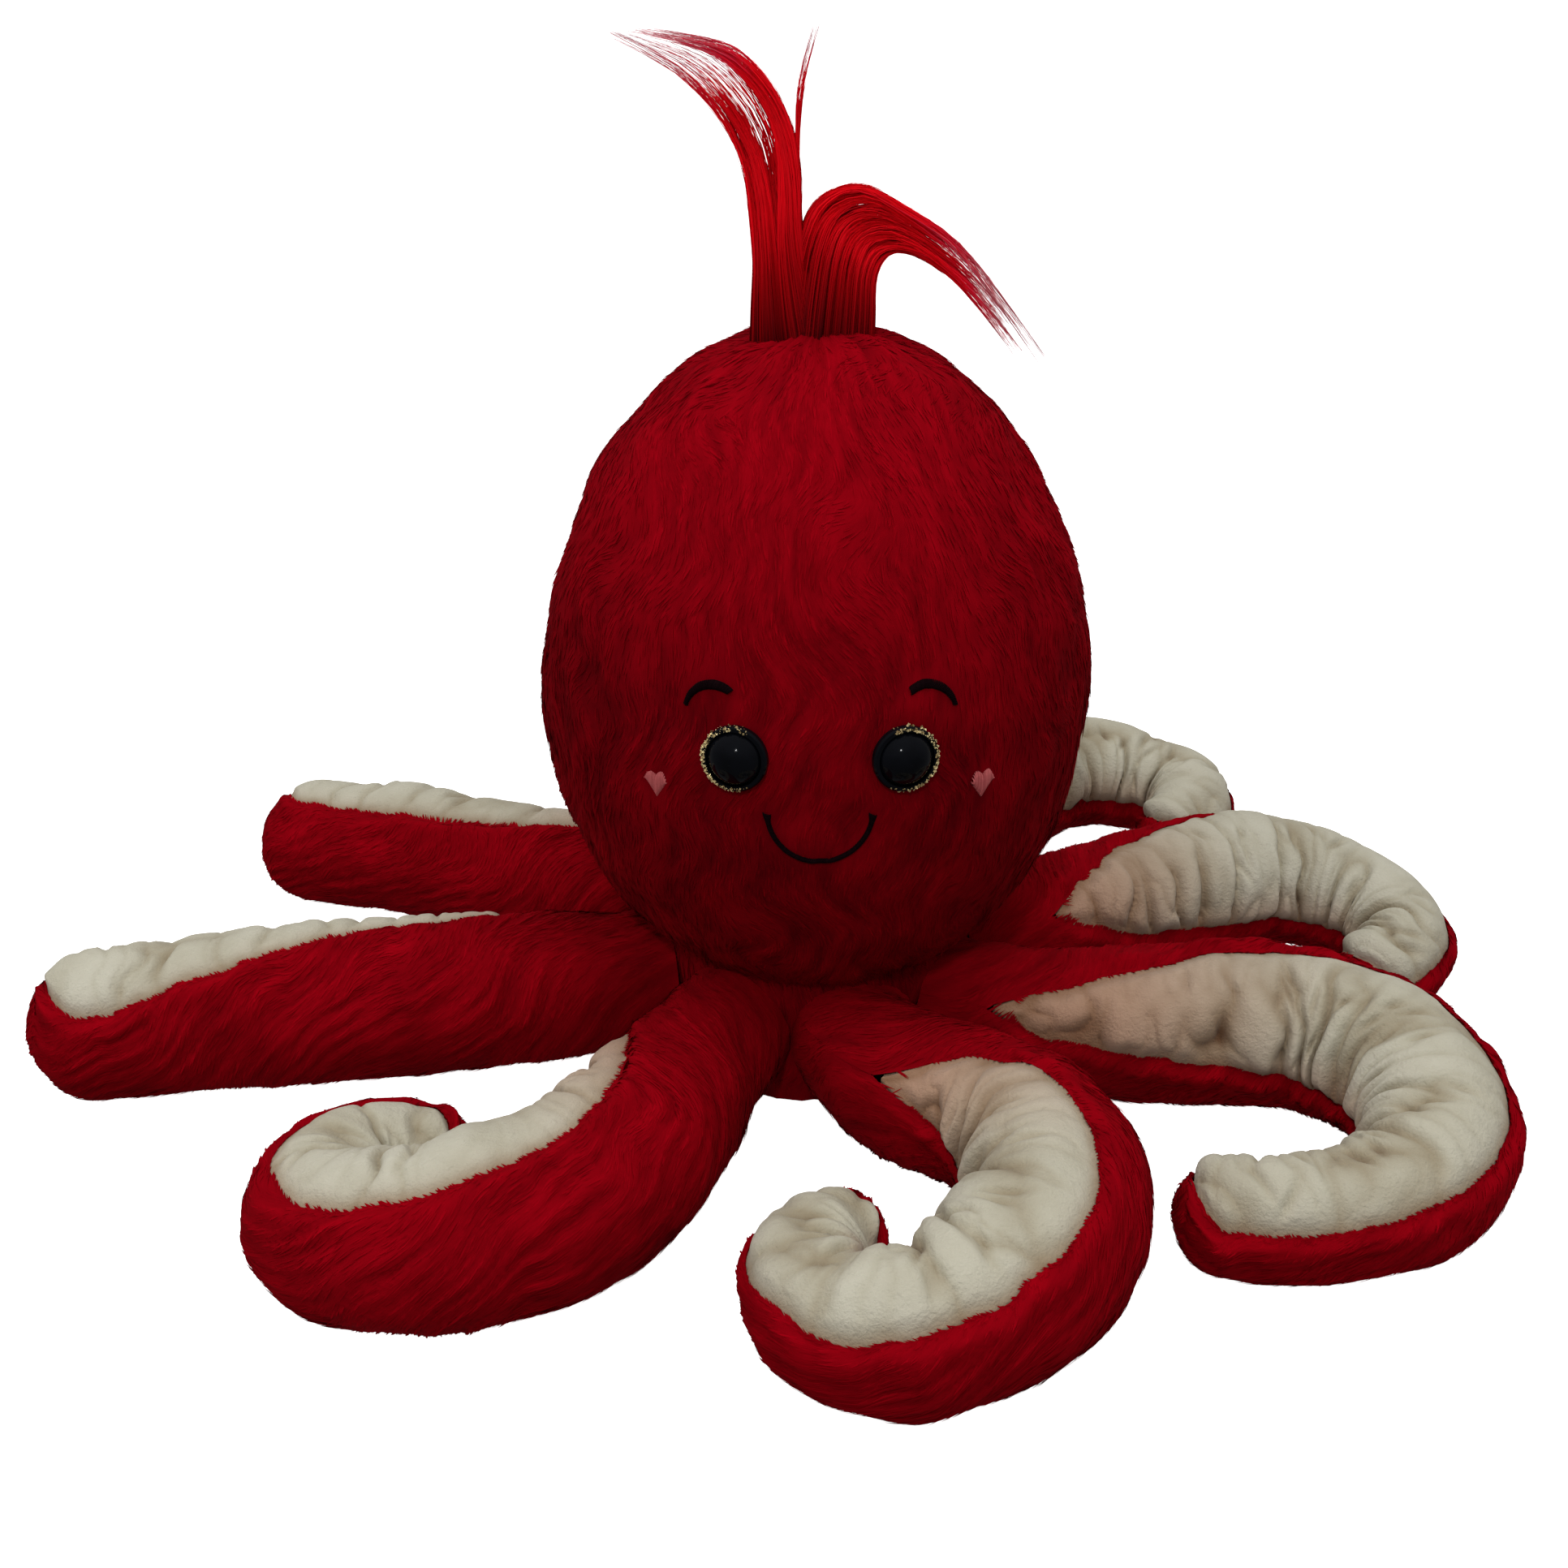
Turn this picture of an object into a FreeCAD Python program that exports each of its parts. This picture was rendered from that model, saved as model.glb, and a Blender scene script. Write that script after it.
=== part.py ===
import FreeCAD, Part
import math
import os

from FreeCAD import Vector

# Stuffed octopus toy.  Millimetres, +Z up, the face looks along -Y, and the origin is the
# centre of the flat base panel, on the surface that the toy sits on.
#
# Eight sewn arms leave one round body.  Each arm is a tube of three pieces: a red pile
# sleeve that is open along one side, a cream panel that closes the sleeve, and the filling.
# An arm is described by its centre line on the floor plan, its radius along that line, and
# the direction in which its cream panel looks.

# ---- thicknesses and clearances -------------------------------------------------------
FUR = 2.5                 # pile fabric with its backing
PANEL = 2.2               # crinkled plush panel of an arm
BASE_THICK = 2.0          # base panel under the body
GAP = 0.3                 # between neighbouring pieces
SEAM_GAP = 1.6            # between two fabrics that are sewn edge to edge
FILLING_GAP = 0.9         # between the filling of an arm and its fabric

# ---- body (a surface of revolution) ---------------------------------------------------
BODY_RADIUS = 76.5        # before the taper
BODY_BOTTOM = 27.0        # lowest level of the egg, hidden between the arms
BODY_HEIGHT = 185.0       # of the egg
BODY_TAPER = 0.13         # how much slimmer the crown is than the chin
TAPER_LEVEL = 0.40        # share of the height where the radius is not changed
ROUNDNESS = 0.94          # below 1 makes the egg fuller
NECK_RADIUS = 46.0        # upright wall that the arms are sewn to
NECK_TOP = 38.0
EGG_START = 38.0          # degrees along the egg where it leaves the neck
EGG_END = 173.0
EGG_STEPS = 14

# ---- face -----------------------------------------------------------------------------
EYE_AZIMUTH = 15.7        # degrees to each side of the middle of the face
EYE_LEVEL = 123.5
EYE_DIAMETER = 13.8
EYE_DOME = 4.6
RING_DIAMETER = 16.6
RING_THICK = 1.0
RING_LIP = 2.0
STEM_DIAMETER = 4.0
STEM_LENGTH = 9.0
WASHER_DIAMETER = 14.0
WASHER_THICK = 1.5
WASHER_DEPTH = 3.1        # from the fabric's outer face to the washer
THREAD = 0.7              # radius of an embroidered line
BROW_INNER = (17.0, 140.5)    # azimuth in degrees, level in mm
BROW_MIDDLE = (20.3, 141.3)
BROW_OUTER = (24.0, 135.3)
MOUTH_CORNER = (9.6, 109.0)
MOUTH_LOW = 97.2
HEART_AZIMUTH = 31.0
HEART_LEVEL = 112.8
HEART_WIDTH = 6.6
HEART_HEIGHT = 7.2
HEART_THICK = 0.6

# ---- hair tuft on the crown ------------------------------------------------------------
TUFT_X = -2.0             # the tuft is sewn in a little off centre
BAND_RADIUS = 16.0
BAND_BOTTOM = 201.0
BAND_TOP = 216.0
LOCK_GAP = 0.4
# each lock: (x, z, width across, depth) down its middle
LEFT_LOCK = [
    (-10.4, 216.4, 15.4, 22.0),
    (-11.0, 232.0, 14.0, 18.0),
    (-13.5, 247.0, 13.0, 14.0),
    (-20.5, 262.0, 11.0, 11.0),
    (-32.5, 274.0, 7.0, 8.0),
    (-48.0, 280.5, 2.0, 3.0),
]
RIGHT_LOCK = [
    (5.9, 216.4, 15.4, 22.0),
    (4.9, 228.0, 13.4, 18.0),
    (8.2, 239.0, 12.0, 15.0),
    (20.0, 242.0, 10.0, 12.0),
    (33.5, 234.0, 8.0, 9.0),
    (46.0, 219.0, 5.0, 6.0),
    (56.0, 203.5, 2.0, 3.0),
]

# ---- arms -----------------------------------------------------------------------------
FIRST_ARM = 14.0          # azimuth of the first root, the others follow every 45 degrees
ARM_COUNT = 8
ROOT_GAP = 0.4            # from the neck wall to the root face of an arm
ROOT_LEVEL = 24.0         # height of the centre line at the root
DROP_LENGTH = 62.0        # the centre line comes down to the floor over this length
ROOT_SHARE = 0.80         # radius at the root as a share of the full radius
CAP_ANGLES = (0.0, 30.0, 52.0, 70.0, 82.0, 88.0)
SECTION_STEP = 13.0       # spacing of the cross sections along an arm
SLIT = 1.2                # half angle of the sewn slit where there is no panel
# half angle of the panel against the share of the arm's length, after its pointed start
PANEL_OPENING = [(0.30, 45.0), (0.47, 62.0), (0.67, 75.0), (0.97, 80.0)]
PANEL_START = 0.12        # share of an arm's length where its panel starts
EARLY_START = {"arm_5": 0.06}
POINT_SHARE = 0.06        # the pointed start takes this share to open to the next angle
POINT_ANGLE = 22.0

# name, place in the ring, radius, tip share, [(length, turn in degrees) ...],
# [(share of length, direction of the panel) ...], share of length where the arm can bend
ARMS = [
    ("arm_1", 3, 21.5, 0.92, [(36, 2), (50, 8), (56, 6)],
     [(0, 30), (0.5, 46), (1, 35)], None),
    ("arm_2", 4, 22.5, 0.90, [(36, -8), (45, 2), (80, 0)],
     [(0, 20), (0.6, 20), (1, 65)], None),
    ("arm_3", 5, 23.0, 0.62, [(36, 14), (28, -12), (42, -42), (34, -42), (32, -100), (22, -60)],
     [(0, 30), (1, 50)], 64.0),
    ("arm_4", 6, 22.5, 0.58, [(34, 52), (8, -6), (48, -70), (60, -72), (33, -94), (20, -60)],
     [(0, 30), (1, 80)], 46.0),
    ("arm_5", 7, 22.5, 0.60, [(36, 30), (56, -6), (54, -80), (48, -78), (36, -30)],
     [(0, 30), (1, 80)], 90.0),
    ("arm_6", 0, 22.0, 0.60, [(36, 13), (64, -8), (52, -76), (36, -100)],
     [(0, 30), (1, 80)], 86.0),
    ("arm_7", 1, 22.0, 0.60, [(36, 0), (65, -10), (60, -92), (36, -108)],
     [(0, 30), (1, 80)], 99.0),
    ("arm_8", 2, 22.0, 0.60, [(36, -2), (50, -14), (50, -78), (44, -96)],
     [(0, 30), (1, 80)], 84.0),
]


# ---- small helpers --------------------------------------------------------------------
def between(keys, at):
    """Value at a place, straight between the given (place, value) pairs."""
    if at <= keys[0][0]:
        return keys[0][1]
    for (a, low), (b, high) in zip(keys, keys[1:]):
        if at <= b:
            return low + (high - low) * (at - a) / (b - a)
    return keys[-1][1]


def polar(radius, azimuth, level):
    """Point at an azimuth in degrees from the middle of the face, positive to +X."""
    turn = math.radians(azimuth)
    return Vector(radius * math.sin(turn), -radius * math.cos(turn), level)


def save(name, shape):
    """Write one piece, and say so when it is not one sound solid."""
    if shape.ShapeType != "Solid" and len(shape.Solids) == 1:
        shape = shape.Solids[0]
    if not shape.isValid() or len(shape.Solids) != 1:
        print("CHECK", name, shape.ShapeType, shape.isValid(), len(shape.Solids))
    shape.exportStep("parts/" + name + ".step")
    PIECES[name] = shape


# ---- body -----------------------------------------------------------------------------
def egg_point(angle):
    """Point (radius, level) of the egg, at an angle in degrees up from its bottom."""
    turn = math.radians(angle)
    share = (1 - math.cos(turn)) / 2
    taper = 1 - BODY_TAPER * (share - TAPER_LEVEL)
    radius = BODY_RADIUS * math.sin(turn) ** ROUNDNESS * taper
    return radius, BODY_BOTTOM + BODY_HEIGHT * share


def body_profile(inset):
    """Points (radius, level) of the body's outline above the neck, moved inwards."""
    points = [(NECK_RADIUS, NECK_TOP), (NECK_RADIUS + 0.8, NECK_TOP + 5.0)]
    for step in range(EGG_STEPS + 1):
        points.append(egg_point(EGG_START + (EGG_END - EGG_START) * step / EGG_STEPS))
    moved = []
    for index, (radius, level) in enumerate(points):
        before = points[max(index - 1, 0)]
        after = points[min(index + 1, len(points) - 1)]
        along = math.hypot(after[0] - before[0], after[1] - before[1])
        if index == 0:
            out = (1.0, 0.0)
        else:
            out = ((after[1] - before[1]) / along, -(after[0] - before[0]) / along)
        moved.append(Vector(radius - inset * out[0], 0, level - inset * out[1]))
    return moved


def profile_edges(inset, bottom):
    """Outline from the bottom of the neck to the crown as joined edges."""
    points = body_profile(inset)
    curve = Part.BSplineCurve()
    curve.interpolate(Points=points)
    wall = Part.makeLine(Vector(NECK_RADIUS - inset, 0, bottom), points[0])
    return [wall, curve.toShape()], points[-1]


def body_half(side):
    """One half of the pile cover; the two halves meet in the seam down the face."""
    bottom = BASE_THICK + GAP
    outer, outer_end = profile_edges(0, bottom)
    inner, inner_end = profile_edges(FUR, bottom)
    rim = Part.makeLine(Vector(NECK_RADIUS - FUR, 0, bottom), Vector(NECK_RADIUS, 0, bottom))
    crown = Part.makeLine(outer_end, inner_end)
    wire = Part.Wire(Part.__sortEdges__(outer + inner + [rim, crown]))
    seam = 0.1                # degrees on each side of the seam plane
    start = -90.0 + seam if side > 0 else 90.0 + seam
    face = Part.Face(wire)
    face.rotate(Vector(0, 0, 0), Vector(0, 0, 1), start)
    return face.revolve(Vector(0, 0, 0), Vector(0, 0, 1), 180.0 - 2 * seam)


def body_filling():
    """Filling of the body, inside both halves of the cover."""
    bottom = BASE_THICK + GAP
    edges, end = profile_edges(FUR + GAP, bottom)
    edges.append(Part.makeLine(end, Vector(0, 0, end.z)))
    edges.append(Part.makeLine(Vector(0, 0, end.z), Vector(0, 0, bottom)))
    edges.append(Part.makeLine(Vector(0, 0, bottom), Vector(NECK_RADIUS - FUR - GAP, 0, bottom)))
    face = Part.Face(Part.Wire(Part.__sortEdges__(edges)))
    return face.revolve(Vector(0, 0, 0), Vector(0, 0, 1), 360)


def surface_radius(level):
    """Radius of the body's outer face at a level."""
    low, high = EGG_START, EGG_END
    for _ in range(40):
        middle = (low + high) / 2
        if egg_point(middle)[1] < level:
            low = middle
        else:
            high = middle
    return egg_point(low)[0]


def surface_point(azimuth, level, lift=0.0):
    """Point over the body's outer face."""
    return polar(surface_radius(level) + lift, azimuth, level)


def surface_frame(azimuth, level):
    """Foot point, sideways direction, upward direction and outward normal of the face."""
    foot = surface_point(azimuth, level)
    across = surface_point(azimuth + 1, level) - surface_point(azimuth - 1, level)
    rise = surface_point(azimuth, level + 1) - surface_point(azimuth, level - 1)
    across.normalize()
    rise.normalize()
    normal = across.cross(rise)
    normal.normalize()
    return foot, across, rise, normal


# ---- face -----------------------------------------------------------------------------
def turned_profile(points, foot, normal):
    """Solid turned about the normal from points (radius, height)."""
    local = [Vector(radius, 0, height) for radius, height in points]
    face = Part.Face(Part.makePolygon(local + [local[0]]))
    solid = face.revolve(Vector(0, 0, 0), Vector(0, 0, 1), 360)
    place = FreeCAD.Placement(foot, FreeCAD.Rotation(Vector(0, 0, 1), normal))
    solid.Placement = place
    return solid


def eye_ring(foot, normal):
    """Glitter ring with a lip that holds the eye."""
    inner = STEM_DIAMETER / 2 + GAP / 2
    outer = RING_DIAMETER / 2
    lip = EYE_DIAMETER / 2 + 0.1
    low = 0.1
    points = [(inner, low), (outer, low), (outer, low + RING_LIP * 0.7),
              (outer - 0.4, low + RING_LIP), (lip, low + RING_LIP), (lip, low + RING_THICK),
              (inner, low + RING_THICK)]
    return turned_profile(points, foot, normal)


def eye_dome(foot, normal):
    """Domed eye with its stem, one moulding."""
    radius = EYE_DIAMETER / 2
    base = RING_THICK + 0.2
    flat = Vector(radius, 0, base)
    top = Vector(0, 0, base + EYE_DOME)
    curve_radius = (radius ** 2 + EYE_DOME ** 2) / (2 * EYE_DOME)
    half = math.asin(radius / curve_radius) / 2
    shoulder = Vector(curve_radius * math.sin(half), 0,
                      base + EYE_DOME - curve_radius * (1 - math.cos(half)))
    stem = STEM_DIAMETER / 2
    foot_level = base - STEM_LENGTH
    corners = [top, Vector(0, 0, foot_level), Vector(stem, 0, foot_level),
               Vector(stem, 0, base), flat]
    edges = [Part.makeLine(a, b) for a, b in zip(corners, corners[1:])]
    edges.append(Part.Arc(flat, shoulder, top).toShape())
    solid = Part.Face(Part.Wire(edges)).revolve(Vector(0, 0, 0), Vector(0, 0, 1), 360)
    solid.Placement = FreeCAD.Placement(foot, FreeCAD.Rotation(Vector(0, 0, 1), normal))
    return solid


def eye_washer(foot, normal):
    """Lock washer on the stem, behind the cover."""
    ring = Part.makeCylinder(WASHER_DIAMETER / 2, WASHER_THICK)
    hole = Part.makeCylinder(STEM_DIAMETER / 2 + GAP / 2, WASHER_THICK)
    ring = ring.cut(hole)
    start = foot - normal * WASHER_DEPTH
    ring.Placement = FreeCAD.Placement(start, FreeCAD.Rotation(Vector(0, 0, 1), -normal))
    return ring


def eye_pocket(foot, normal):
    """Room for the stem through the cover, and for the washer in the filling."""
    hole = Part.makeCylinder(STEM_DIAMETER / 2 + GAP, STEM_LENGTH + 2, foot + normal * 2, -normal)
    room = Part.makeCylinder(WASHER_DIAMETER / 2 + GAP, 2 * WASHER_THICK + 5.0,
                             foot - normal * (FUR - 0.2), -normal)
    return hole, room


def embroidered_line(start, middle, end):
    """Raised line of thread along an arc through three points of the face."""
    lift = THREAD + 0.15
    points = [surface_point(azimuth, level, lift) for azimuth, level in (start, middle, end)]
    arc = Part.Arc(points[0], points[1], points[2])
    direction = arc.tangent(arc.FirstParameter)[0]
    section = Part.Wire(Part.makeCircle(THREAD, points[0], direction))
    return Part.Wire(arc.toShape()).makePipeShell([section], True, True)


def embroidered_heart(azimuth):
    """Flat heart of stitches on the cheek."""
    foot, across, rise, normal = surface_frame(azimuth, HEART_LEVEL)
    foot = foot + normal * 0.15

    def at(share_x, share_y):
        return foot + across * (share_x * HEART_WIDTH) + rise * (share_y * HEART_HEIGHT)

    tip = at(0, -0.5)
    notch = at(0, 0.27)
    edges = [Part.makeLine(tip, at(-0.5, 0.12)),
             Part.Arc(at(-0.5, 0.12), at(-0.28, 0.5), notch).toShape(),
             Part.Arc(notch, at(0.28, 0.5), at(0.5, 0.12)).toShape(),
             Part.makeLine(at(0.5, 0.12), tip)]
    return Part.Face(Part.Wire(edges)).extrude(normal * HEART_THICK)


# ---- hair -----------------------------------------------------------------------------
def hair_lock(stations):
    """Closed outer shape of a lock of hair, thin at its tip."""
    sections = []
    for index, (x, z, width, depth) in enumerate(stations):
        before = stations[max(index - 1, 0)]
        after = stations[min(index + 1, len(stations) - 1)]
        along = Vector(after[0] - before[0], 0, after[1] - before[1])
        if index == 0:
            along = Vector(0, 0, 1)
        along.normalize()
        side = Vector(0, 1, 0).cross(along)
        points = []
        for corner in range(12):
            turn = math.radians(30.0 * corner)
            points.append(Vector(x, 0, z) + side * (width / 2 * math.cos(turn))
                          + Vector(0, depth / 2 * math.sin(turn), 0))
        curve = Part.BSplineCurve()
        curve.interpolate(Points=points, PeriodicFlag=True)
        sections.append(Part.Wire(curve.toShape()))
    return Part.makeLoft(sections, True, False)


def tuft_band():
    """Sewn root of the tuft, let into the crown."""
    return Part.makeCone(BAND_RADIUS - 0.6, BAND_RADIUS, BAND_TOP - BAND_BOTTOM,
                         Vector(TUFT_X, 0, BAND_BOTTOM))


# ---- arms -----------------------------------------------------------------------------
class Arm:
    """Centre line, radius and panel direction of one arm."""

    def __init__(self, place, radius, tip_share, turns, panel, bend, start):
        self.azimuth = FIRST_ARM + 360.0 / ARM_COUNT * place
        self.radius = radius
        self.tip_share = tip_share
        self.turns = turns
        self.panel = panel
        self.bend = bend
        self.start = start
        self.length = sum(length for length, _ in turns)
        self.cap = radius * tip_share

    def plan(self, distance):
        """Place and heading of the centre line on the floor plan."""
        heading = math.radians(self.azimuth)
        reach = NECK_RADIUS + ROOT_GAP
        x, y = reach * math.cos(heading), reach * math.sin(heading)
        left = distance
        for length, turn in self.turns:
            part = min(left, length)
            swing = math.radians(turn) * part / length
            chord = part
            if abs(swing) > 1e-9:
                chord = part * math.sin(swing / 2) / (swing / 2)
            x += chord * math.cos(heading + swing / 2)
            y += chord * math.sin(heading + swing / 2)
            heading += swing
            left -= part
        x += left * math.cos(heading)
        y += left * math.sin(heading)
        return x, y, heading

    def tube_radius(self, distance):
        """Outer radius of the tube before the rounded end."""
        share = min(distance / self.length, 1.0)
        if self.tip_share < 0.75:
            keys = [(0, ROOT_SHARE), (0.15, 0.92), (0.32, 1.0), (0.55, 1.0),
                    (0.75, 0.55 + 0.45 * self.tip_share), (1, self.tip_share)]
        else:
            keys = [(0, ROOT_SHARE), (0.15, 0.92), (0.32, 1.0), (0.7, 1.0), (1, self.tip_share)]
        return self.radius * between(keys, share)

    def level(self, distance):
        """Height of the centre line."""
        rest = self.tube_radius(distance)
        fall = max(0.0, 1 - distance / DROP_LENGTH)
        fall = fall * fall * (3 - 2 * fall)
        return rest + (ROOT_LEVEL - rest) * fall

    def opening(self, distance):
        """Half angle of the panel, nothing before its start and past its rounded end."""
        share = distance / self.length
        point = [(self.start, 0.0), (self.start + POINT_SHARE, POINT_ANGLE)]
        widest = between(point + PANEL_OPENING, share)
        start = self.length - 2.0
        end = self.length + 0.72 * self.cap
        if distance > start:
            past = min((distance - start) / (end - start), 1.0)
            widest *= math.sqrt(1 - past * past)
        return widest

    def stations(self, start, end, with_cap):
        """Distances of the cross sections between two places."""
        count = max(3, int(round((end - start) / SECTION_STEP)))
        places = [start + (end - start) * index / count for index in range(count + 1)]
        if with_cap:
            for angle in CAP_ANGLES[1:]:
                places.append(self.length + self.cap * math.sin(math.radians(angle)))
        return places

    def section_points(self, distance, inset, first, last, count):
        """Points on the tube's circle between two angles, moved inwards."""
        x, y, heading = self.plan(distance)
        radius = self.tube_radius(distance)
        shrink = 1.0
        if distance > self.length:
            past = (distance - self.length) / self.cap
            shrink = math.sqrt(max(0.0, 1 - past * past))
        radius = (radius - inset) * shrink
        side = Vector(math.sin(heading), -math.cos(heading), 0)
        centre = Vector(x, y, self.level(distance))
        points = []
        for index in range(count + 1):
            turn = math.radians(first + (last - first) * index / count)
            points.append(centre + side * (radius * math.cos(turn))
                          + Vector(0, 0, radius * math.sin(turn)))
        return points


def smooth_edge(points):
    """Smooth curve through the points."""
    curve = Part.BSplineCurve()
    curve.interpolate(Points=points)
    return curve.toShape()


def strip_section(arm, distance, outer, inner, first, last):
    """Closed outline of a fabric strip across the arm."""
    steps = 12
    over = arm.section_points(distance, outer, first, last, steps)
    under = arm.section_points(distance, inner, last, first, steps)
    edges = [smooth_edge(over), Part.makeLine(over[-1], under[0]),
             smooth_edge(under), Part.makeLine(under[-1], over[0])]
    return Part.Wire(edges)


def sleeve(arm, start, end, with_cap):
    """Pile fabric round the arm, open where the panel is sewn in."""
    sections = []
    for distance in arm.stations(start, end, with_cap):
        facing = between(arm.panel, distance / arm.length)
        spare = math.degrees(SEAM_GAP / 2 / arm.tube_radius(distance))
        half = max(arm.opening(distance) + spare, SLIT)
        sections.append(strip_section(arm, distance, 0, FUR, facing + half, facing + 360 - half))
    return Part.makeLoft(sections, True, False)


def panel(arm, start, end, with_cap):
    """Crinkled plush strip that closes the sleeve."""
    least = 9.0               # degrees, where it is narrower there is no strip
    sections = []
    for distance in arm.stations(start, end, with_cap):
        facing = between(arm.panel, distance / arm.length)
        spare = math.degrees(SEAM_GAP / 2 / arm.tube_radius(distance))
        half = arm.opening(distance) - spare
        if half < least:
            continue
        sections.append(strip_section(arm, distance, 0, PANEL, facing - half, facing + half))
    return Part.makeLoft(sections, True, False)


def filling(arm, start, end, with_cap):
    """Filling inside the sleeve and the panel."""
    sections = []
    for distance in arm.stations(start, end, with_cap):
        points = arm.section_points(distance, FUR + FILLING_GAP, 0, 330, 11)
        curve = Part.BSplineCurve()
        curve.interpolate(Points=points, PeriodicFlag=True)
        sections.append(Part.Wire(curve.toShape()))
    return Part.makeLoft(sections, True, False)


def make_arm(name, arm):
    """All the pieces of one arm, in one length or in two."""
    if arm.bend is None:
        lengths = [(name, 0.0, arm.length, True)]
    else:
        half_gap = GAP / 2
        lengths = [(name + "_root", 0.0, arm.bend - half_gap, False),
                   (name + "_tip", arm.bend + half_gap, arm.length, True)]
    for label, start, end, with_cap in lengths:
        save(label + "_fur", sleeve(arm, start, end, with_cap))
        save(label + "_panel", panel(arm, start, end, with_cap))
        save(label + "_filling", filling(arm, start, end, with_cap))


def print_pivot(name, arm, distance):
    """Print where an arm turns: the top of its section, and the level axis across it."""
    x, y, heading = arm.plan(distance)
    top = arm.level(distance) + arm.tube_radius(distance)
    print("%s pivot (%.3f, %.3f, %.3f) axis (%.5f, %.5f, 0)" % (
        name, x, y, top, math.sin(heading), -math.cos(heading)))


def make_body():
    """Cover halves, filling and base panel, with room for the eyes and the tuft."""
    left = body_half(-1)
    right = body_half(1)
    inside = body_filling()
    socket = Part.makeCylinder(BAND_RADIUS + GAP, 40, Vector(TUFT_X, 0, BAND_BOTTOM - GAP))
    inside = inside.cut(socket)
    left = left.cut(socket)
    right = right.cut(socket)
    for side, label in ((-1, "left"), (1, "right")):
        foot, _, _, normal = surface_frame(side * EYE_AZIMUTH, EYE_LEVEL)
        hole, room = eye_pocket(foot, normal)
        inside = inside.cut(room)
        if side < 0:
            left = left.cut(hole)
        else:
            right = right.cut(hole)
        save("eye_ring_" + label, eye_ring(foot, normal))
        save("eye_" + label, eye_dome(foot, normal))
        save("eye_washer_" + label, eye_washer(foot, normal))
    save("body_fur_left", left)
    save("body_fur_right", right)
    save("body_filling", inside)
    save("base_panel", Part.makeCylinder(NECK_RADIUS, BASE_THICK))


def make_face():
    """Embroidery."""
    for side, label in ((-1, "left"), (1, "right")):
        line = [(side * azimuth, level) for azimuth, level in (BROW_INNER, BROW_MIDDLE, BROW_OUTER)]
        save("brow_" + label, embroidered_line(*line))
        save("heart_" + label, embroidered_heart(side * HEART_AZIMUTH))
    azimuth, level = MOUTH_CORNER
    save("mouth", embroidered_line((-azimuth, level), (0, MOUTH_LOW), (azimuth, level)))


def make_tuft():
    """Tuft root and the two locks that fall to the sides."""
    save("tuft_band", tuft_band())
    save("tuft_lock_left", hair_lock(LEFT_LOCK))
    save("tuft_lock_right", hair_lock(RIGHT_LOCK))


PIECES = {}
os.makedirs("parts", exist_ok=True)
make_body()
make_face()
make_tuft()
for arm_name, place, radius, tip_share, turns, facing, bend in ARMS:
    start_share = EARLY_START.get(arm_name, PANEL_START)
    octopus_arm = Arm(place, radius, tip_share, turns, facing, bend, start_share)
    make_arm(arm_name, octopus_arm)
    print_pivot(arm_name + " root", octopus_arm, 0)
    if bend is not None:
        print_pivot(arm_name + " bend", octopus_arm, bend)
print(len(PIECES), "pieces")
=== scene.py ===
import itertools
import math

import bpy
import numpy as np
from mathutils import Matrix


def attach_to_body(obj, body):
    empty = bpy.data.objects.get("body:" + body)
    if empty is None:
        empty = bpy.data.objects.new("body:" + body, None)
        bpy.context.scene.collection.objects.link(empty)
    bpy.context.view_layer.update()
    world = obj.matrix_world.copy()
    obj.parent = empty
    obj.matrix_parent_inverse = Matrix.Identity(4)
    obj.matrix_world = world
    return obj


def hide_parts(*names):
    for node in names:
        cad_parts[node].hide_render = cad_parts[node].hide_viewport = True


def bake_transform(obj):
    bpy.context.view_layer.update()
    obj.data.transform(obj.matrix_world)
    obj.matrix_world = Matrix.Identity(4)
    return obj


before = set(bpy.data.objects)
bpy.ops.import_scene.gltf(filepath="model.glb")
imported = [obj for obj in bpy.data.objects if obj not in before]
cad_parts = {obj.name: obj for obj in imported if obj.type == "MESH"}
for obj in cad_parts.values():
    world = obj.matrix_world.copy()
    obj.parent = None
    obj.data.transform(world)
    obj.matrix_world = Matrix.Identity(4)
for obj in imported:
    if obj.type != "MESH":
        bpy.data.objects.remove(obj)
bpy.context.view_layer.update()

# Looks of a stuffed octopus toy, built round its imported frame.  Sizes below are in
# millimetres, and meshes are made in metres.  +Z is up and the face looks along -Y.
#
# The body and every arm are "skins": surfaces with a coordinate across and one along.  A
# skin gives its smooth shape, its folds and the way its pile lies.  Fabric meshes and the
# tufts of pile that stand on them are both made from the skins, so they always agree.

MM = 0.001

# ---- body, the same outline as the frame ----------------------------------------------
BODY_RADIUS = 76.5
BODY_BOTTOM = 27.0
BODY_HEIGHT = 185.0
BODY_TAPER = 0.13
TAPER_LEVEL = 0.40
ROUNDNESS = 0.94
NECK_RADIUS = 46.0
NECK_TOP = 38.0
NECK_FOOT = 2.4
EGG_START = 38.0

# ---- face -----------------------------------------------------------------------------
EYE_AZIMUTH = 15.7
EYE_LEVEL = 123.5
RING_RADIUS = 8.3
RING_LIP = 2.0
LEAST_GLINT = 0.45      # grains whose painted glint is weaker than this are left out
BROW = [(17.3, 139.5), (21.2, 140.6), (26.2, 134.9)]     # azimuth in degrees, level
MOUTH = [(-9.9, 109.0), (0.0, 96.8), (9.9, 109.0)]
HEART_AZIMUTH = 32.0
HEART_LEVEL = 112.8
HEART_WIDTH = 6.6
HEART_HEIGHT = 7.2

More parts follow.
